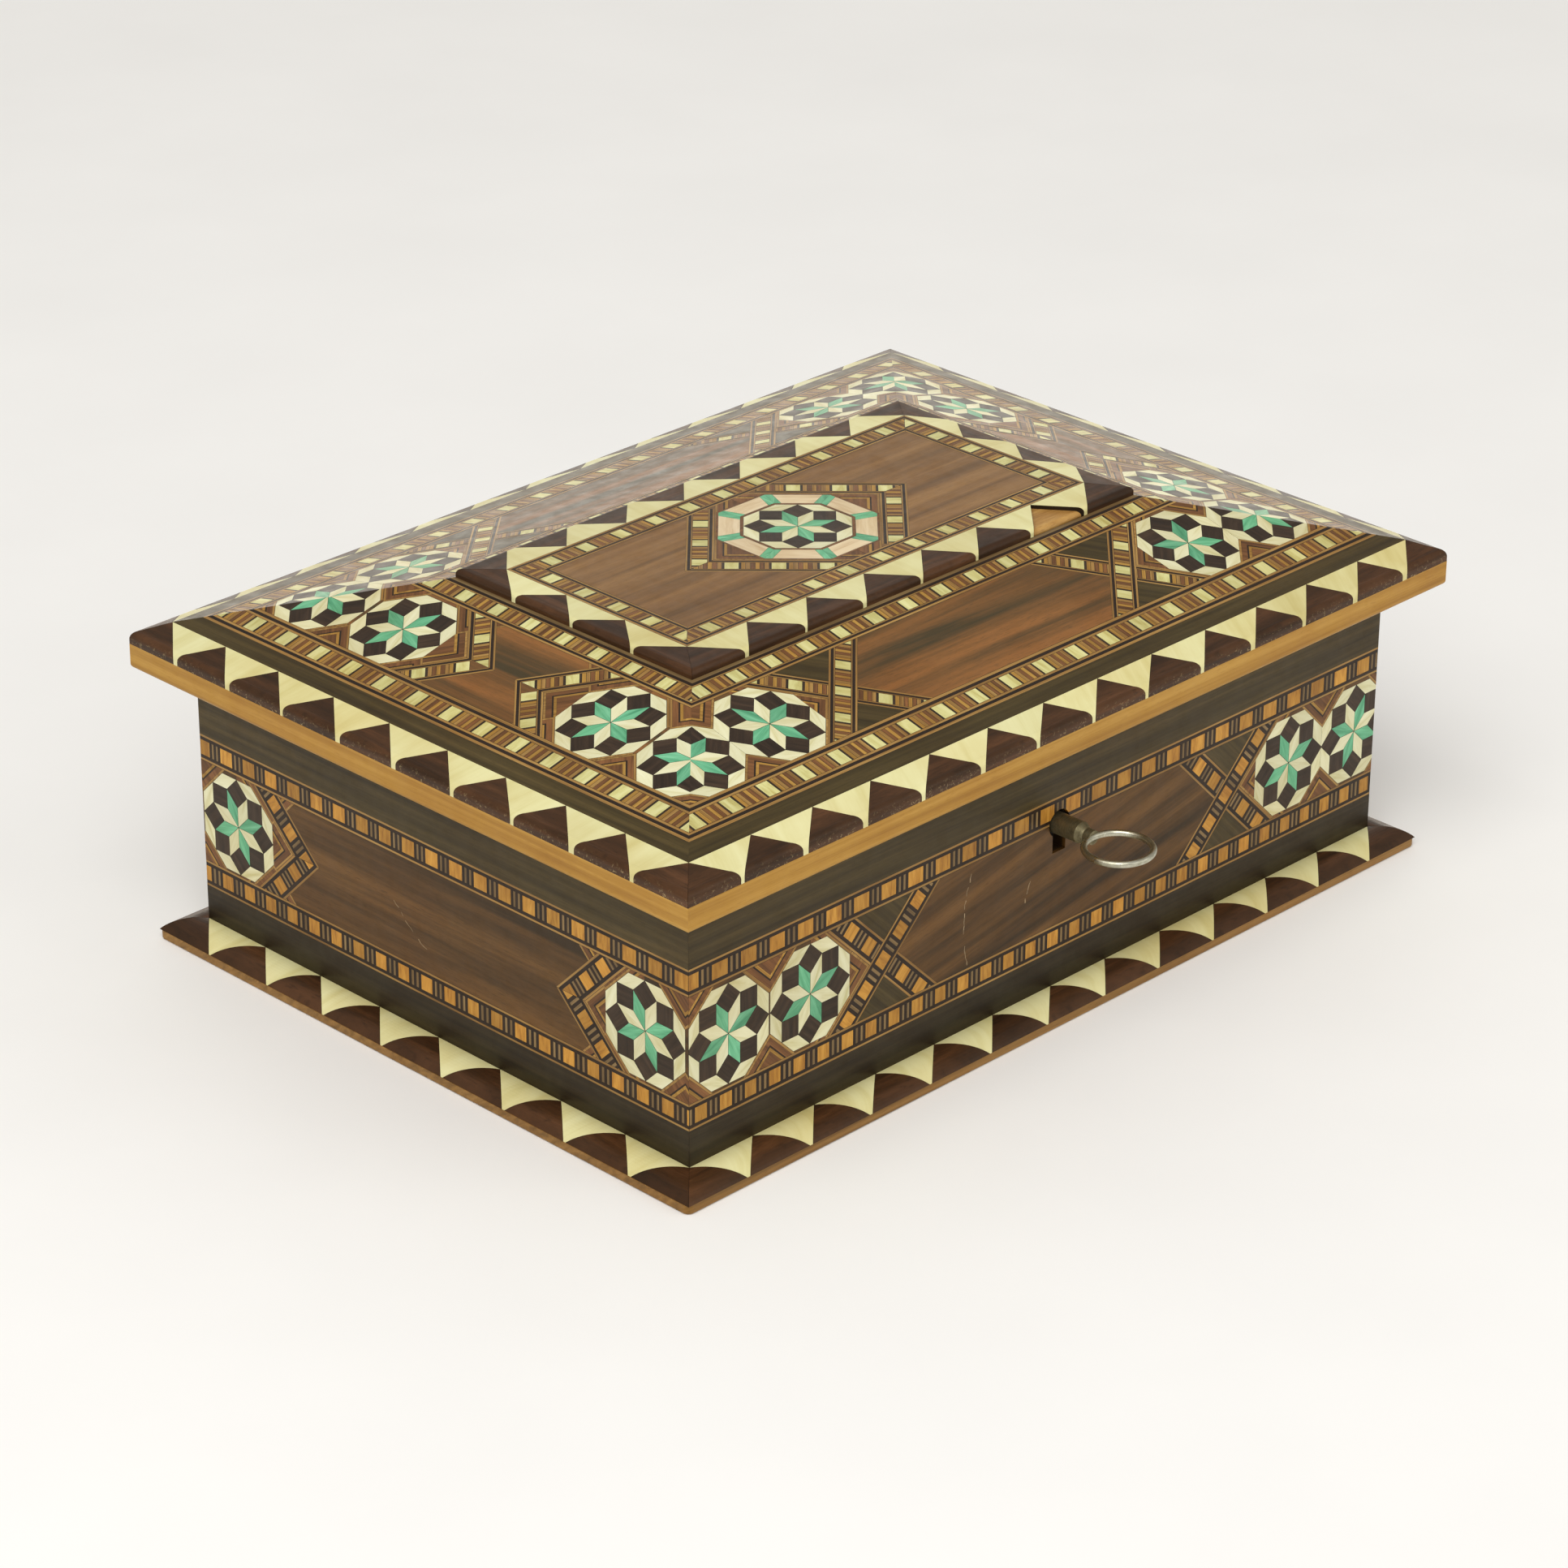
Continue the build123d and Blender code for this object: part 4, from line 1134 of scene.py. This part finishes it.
def cut_keyhole(pattern):
    """The keyhole is as wide as the hole in the wall behind, and centred on the key."""
    centre = Vector((KEYHOLE.x, KEYHOLE.z))
    radius = 2.4
    slot = 3.0
    reach = 4.9
    shaft = rectangle(centre.x - slot / 2, centre.y - reach, centre.x + slot / 2, centre.y)
    pattern.lay(shaft, None)
    pattern.lay(circle(centre, radius), None)


def cut_hinge_beds(pattern):
    for node in ("hinge_leaf_box_left", "hinge_leaf_box_right"):
        low, high = box_mm(node)
        bed_depth = 0.8
        pattern.lay(rectangle(-high[0], WALL_HIGH - bed_depth, -low[0], WALL_HIGH + 1), None)


def build_marquetry():
    scratch(WALLS["front"], ((-18.4, 32.2), (-19.5, 14.9)), -1.6, 0.25)
    scratch(WALLS["front"], ((-6.4, 21.0), (-4.2, 26.4)), 0.4, 0.5)
    scratch(WALLS["left"], ((-9.6, 24.4), (-2.2, 18.3)), -0.5, 0.2)
    cut_keyhole(WALLS["front"])
    cut_hinge_beds(WALLS["back"])
    for side in SIDE_NAMES:
        inlay_sheet(f"wall_inlay_{side}", WALLS[side], wall_place(side), VENEER, "box",
                    f"wall_marquetry_{side}")
        inlay_sheet(f"lid_inlay_{side}", SLOPES[side], slope_place(side), VENEER, "lid",
                    f"lid_marquetry_{side}")
    inlay_sheet("platform_inlay", platform_pattern(31), platform_place, VENEER, "lid",
                "platform_marquetry")


LID_TEETH = (13, 9)       # on a long and on a short side
BASE_TEETH = (12, 8)
PLATFORM_TEETH = (7, 3)
LID_TIP, BASE_TIP, PLATFORM_TIP = 0.9, 0.5, 0.7      # how blunt the light teeth end
LOST_PIECE = 6            # one dark piece is missing from the platform's front rim


def build_rims():
    for seed, side in enumerate(SIDE_NAMES):
        short = side in ("left", "right")
        lid_rim = Rim(side, LID_HALF, SLOPE_HALF, lid_profile(), 40 + seed)
        lid_rim.teeth(LID_TEETH[short], LID_TIP)
        lid_rim.finish(f"lid_teeth_{side}", "lid", f"lid_rim_{side}")
        base_rim = Rim(side, BASE_HALF, BODY_HALF, base_profile(), 50 + seed)
        base_rim.teeth(BASE_TEETH[short], BASE_TIP)
        base_rim.finish(f"base_teeth_{side}", "box", f"base_rim_{side}")
        platform_rim = Rim(side, PLATFORM_HALF, PANEL_HALF, platform_profile(side), 60 + seed)
        lost = LOST_PIECE if side == "front" else None
        platform_rim.teeth(PLATFORM_TEETH[short], PLATFORM_TIP, lost)
        platform_rim.finish(f"platform_teeth_{side}", "lid", f"platform_rim_{side}")


# ---- materials of the carried-over pieces ----


def dress_frame():
    by_slot = {
        "felt": felt(),
        "brass": metal("brass", (206, 170, 96), (170, 132, 66), (104, 78, 44), 0.28),
        "steel": metal("steel", (172, 172, 170), (128, 126, 122), (84, 78, 70), 0.32),
        "key_metal": metal("key_metal", (146, 138, 108), (112, 104, 78), (84, 76, 55), 0.5),
        "nickel": metal("nickel", (206, 204, 186), (176, 173, 150), (140, 135, 110), 0.24, 0.45),
    }
    boards = {"cedar_edge": "edge", "carcass_wood": "carcass"}
    for subpart in frame["record"]["subparts"]:
        node = subpart["node"]
        slot = subpart["material_slot"]
        if slot in by_slot:
            chosen = by_slot[slot]
        elif slot in boards:
            axis = "y" if node.endswith(("_left", "_right")) else "x"
            keyhole = KEYHOLE if node == "wall_front" else None
            # The base board gets the darker copy of the edge wood, as painted shade near the floor.
            board = "shaded_edge" if node == "base_board" else boards[slot]
            chosen = plank(board, axis, keyhole)
        else:
            continue
        for material_slot in frame["nodes"][node].material_slots:
            material_slot.material = chosen


# ---- studio, in metres and degrees ----
CAMERA_AZIMUTH = 45.3135       # from the front towards the left
CAMERA_ELEVATION = 26.4158
CAMERA_ROLL = 0.2619
CAMERA_DISTANCE = 0.84684
CAMERA_TARGET = Vector((-0.0036, 0.0, 0.0211))
LENS = 118.2                   # in mm
FLOOR_HALF = 3.0
WORLD_COLOUR = (1.0, 0.985, 0.96, 1.0)
WORLD_STRENGTH = 0.48
# name, place, target, size, watts and colour
SOFTBOXES = [
    ("key", (-0.82, -0.46, 1.22), (0, 0, 0.03), (1.3, 1.1), 16.4, (1.0, 0.99, 0.965)),
    ("fill", (0.5, -1.2, 0.7), (0, 0, 0.03), (1.2, 0.8), 3.4, (1.0, 0.99, 0.965)),
    ("rear", (1.1, 1.1, 0.16), (0, 0, 0.05), (2.0, 0.3), 5.0, (1.0, 0.94, 0.82)),
]


def add_camera():
    azimuth = math.radians(CAMERA_AZIMUTH)
    elevation = math.radians(CAMERA_ELEVATION)
    flat = math.cos(elevation)
    back = Vector((-math.sin(azimuth) * flat, -math.cos(azimuth) * flat, math.sin(elevation)))
    camera = bpy.data.objects.new("camera", bpy.data.cameras.new("camera"))
    camera.data.lens = LENS
    camera.data.sensor_width = 36.0
    camera.data.clip_start = 0.01
    camera.location = CAMERA_TARGET + back * CAMERA_DISTANCE
    turn = (-back).to_track_quat("-Z", "Y").to_matrix()
    roll = Matrix.Rotation(math.radians(CAMERA_ROLL), 3, "Z")
    camera.rotation_euler = (turn @ roll).to_euler()
    bpy.context.scene.collection.objects.link(camera)
    bpy.context.scene.camera = camera


def add_softbox(name, place, target, size, power, colour):
    light = bpy.data.lights.new(name, "AREA")
    light.shape = "RECTANGLE"
    light.size, light.size_y = size
    light.energy = power
    light.color = colour
    lamp = bpy.data.objects.new(name, light)
    lamp.location = place
    lamp.rotation_euler = (Vector(target) - Vector(place)).to_track_quat("-Z", "Y").to_euler()
    bpy.context.scene.collection.objects.link(lamp)


def add_studio():
    half = FLOOR_HALF
    corners = [(-half, -half, 0), (half, -half, 0), (half, half, 0), (-half, half, 0)]
    mesh = bpy.data.meshes.new("studio_floor")
    mesh.from_pydata(corners, [], [(0, 1, 2, 3)])
    mesh.materials.append(floor_material())
    floor = bpy.data.objects.new("studio_floor", mesh)
    bpy.context.scene.collection.objects.link(floor)

    world = bpy.data.worlds.new("studio")
    world.use_nodes = True
    background = world.node_tree.nodes["Background"]
    background.inputs["Color"].default_value = WORLD_COLOUR
    background.inputs["Strength"].default_value = WORLD_STRENGTH
    bpy.context.scene.world = world
    bpy.context.scene.view_settings.view_transform = "Standard"
    for softbox in SOFTBOXES:
        add_softbox(*softbox)


add_camera()
build_marquetry()
build_rims()
dress_frame()
add_studio()

bpy.context.view_layer.update()
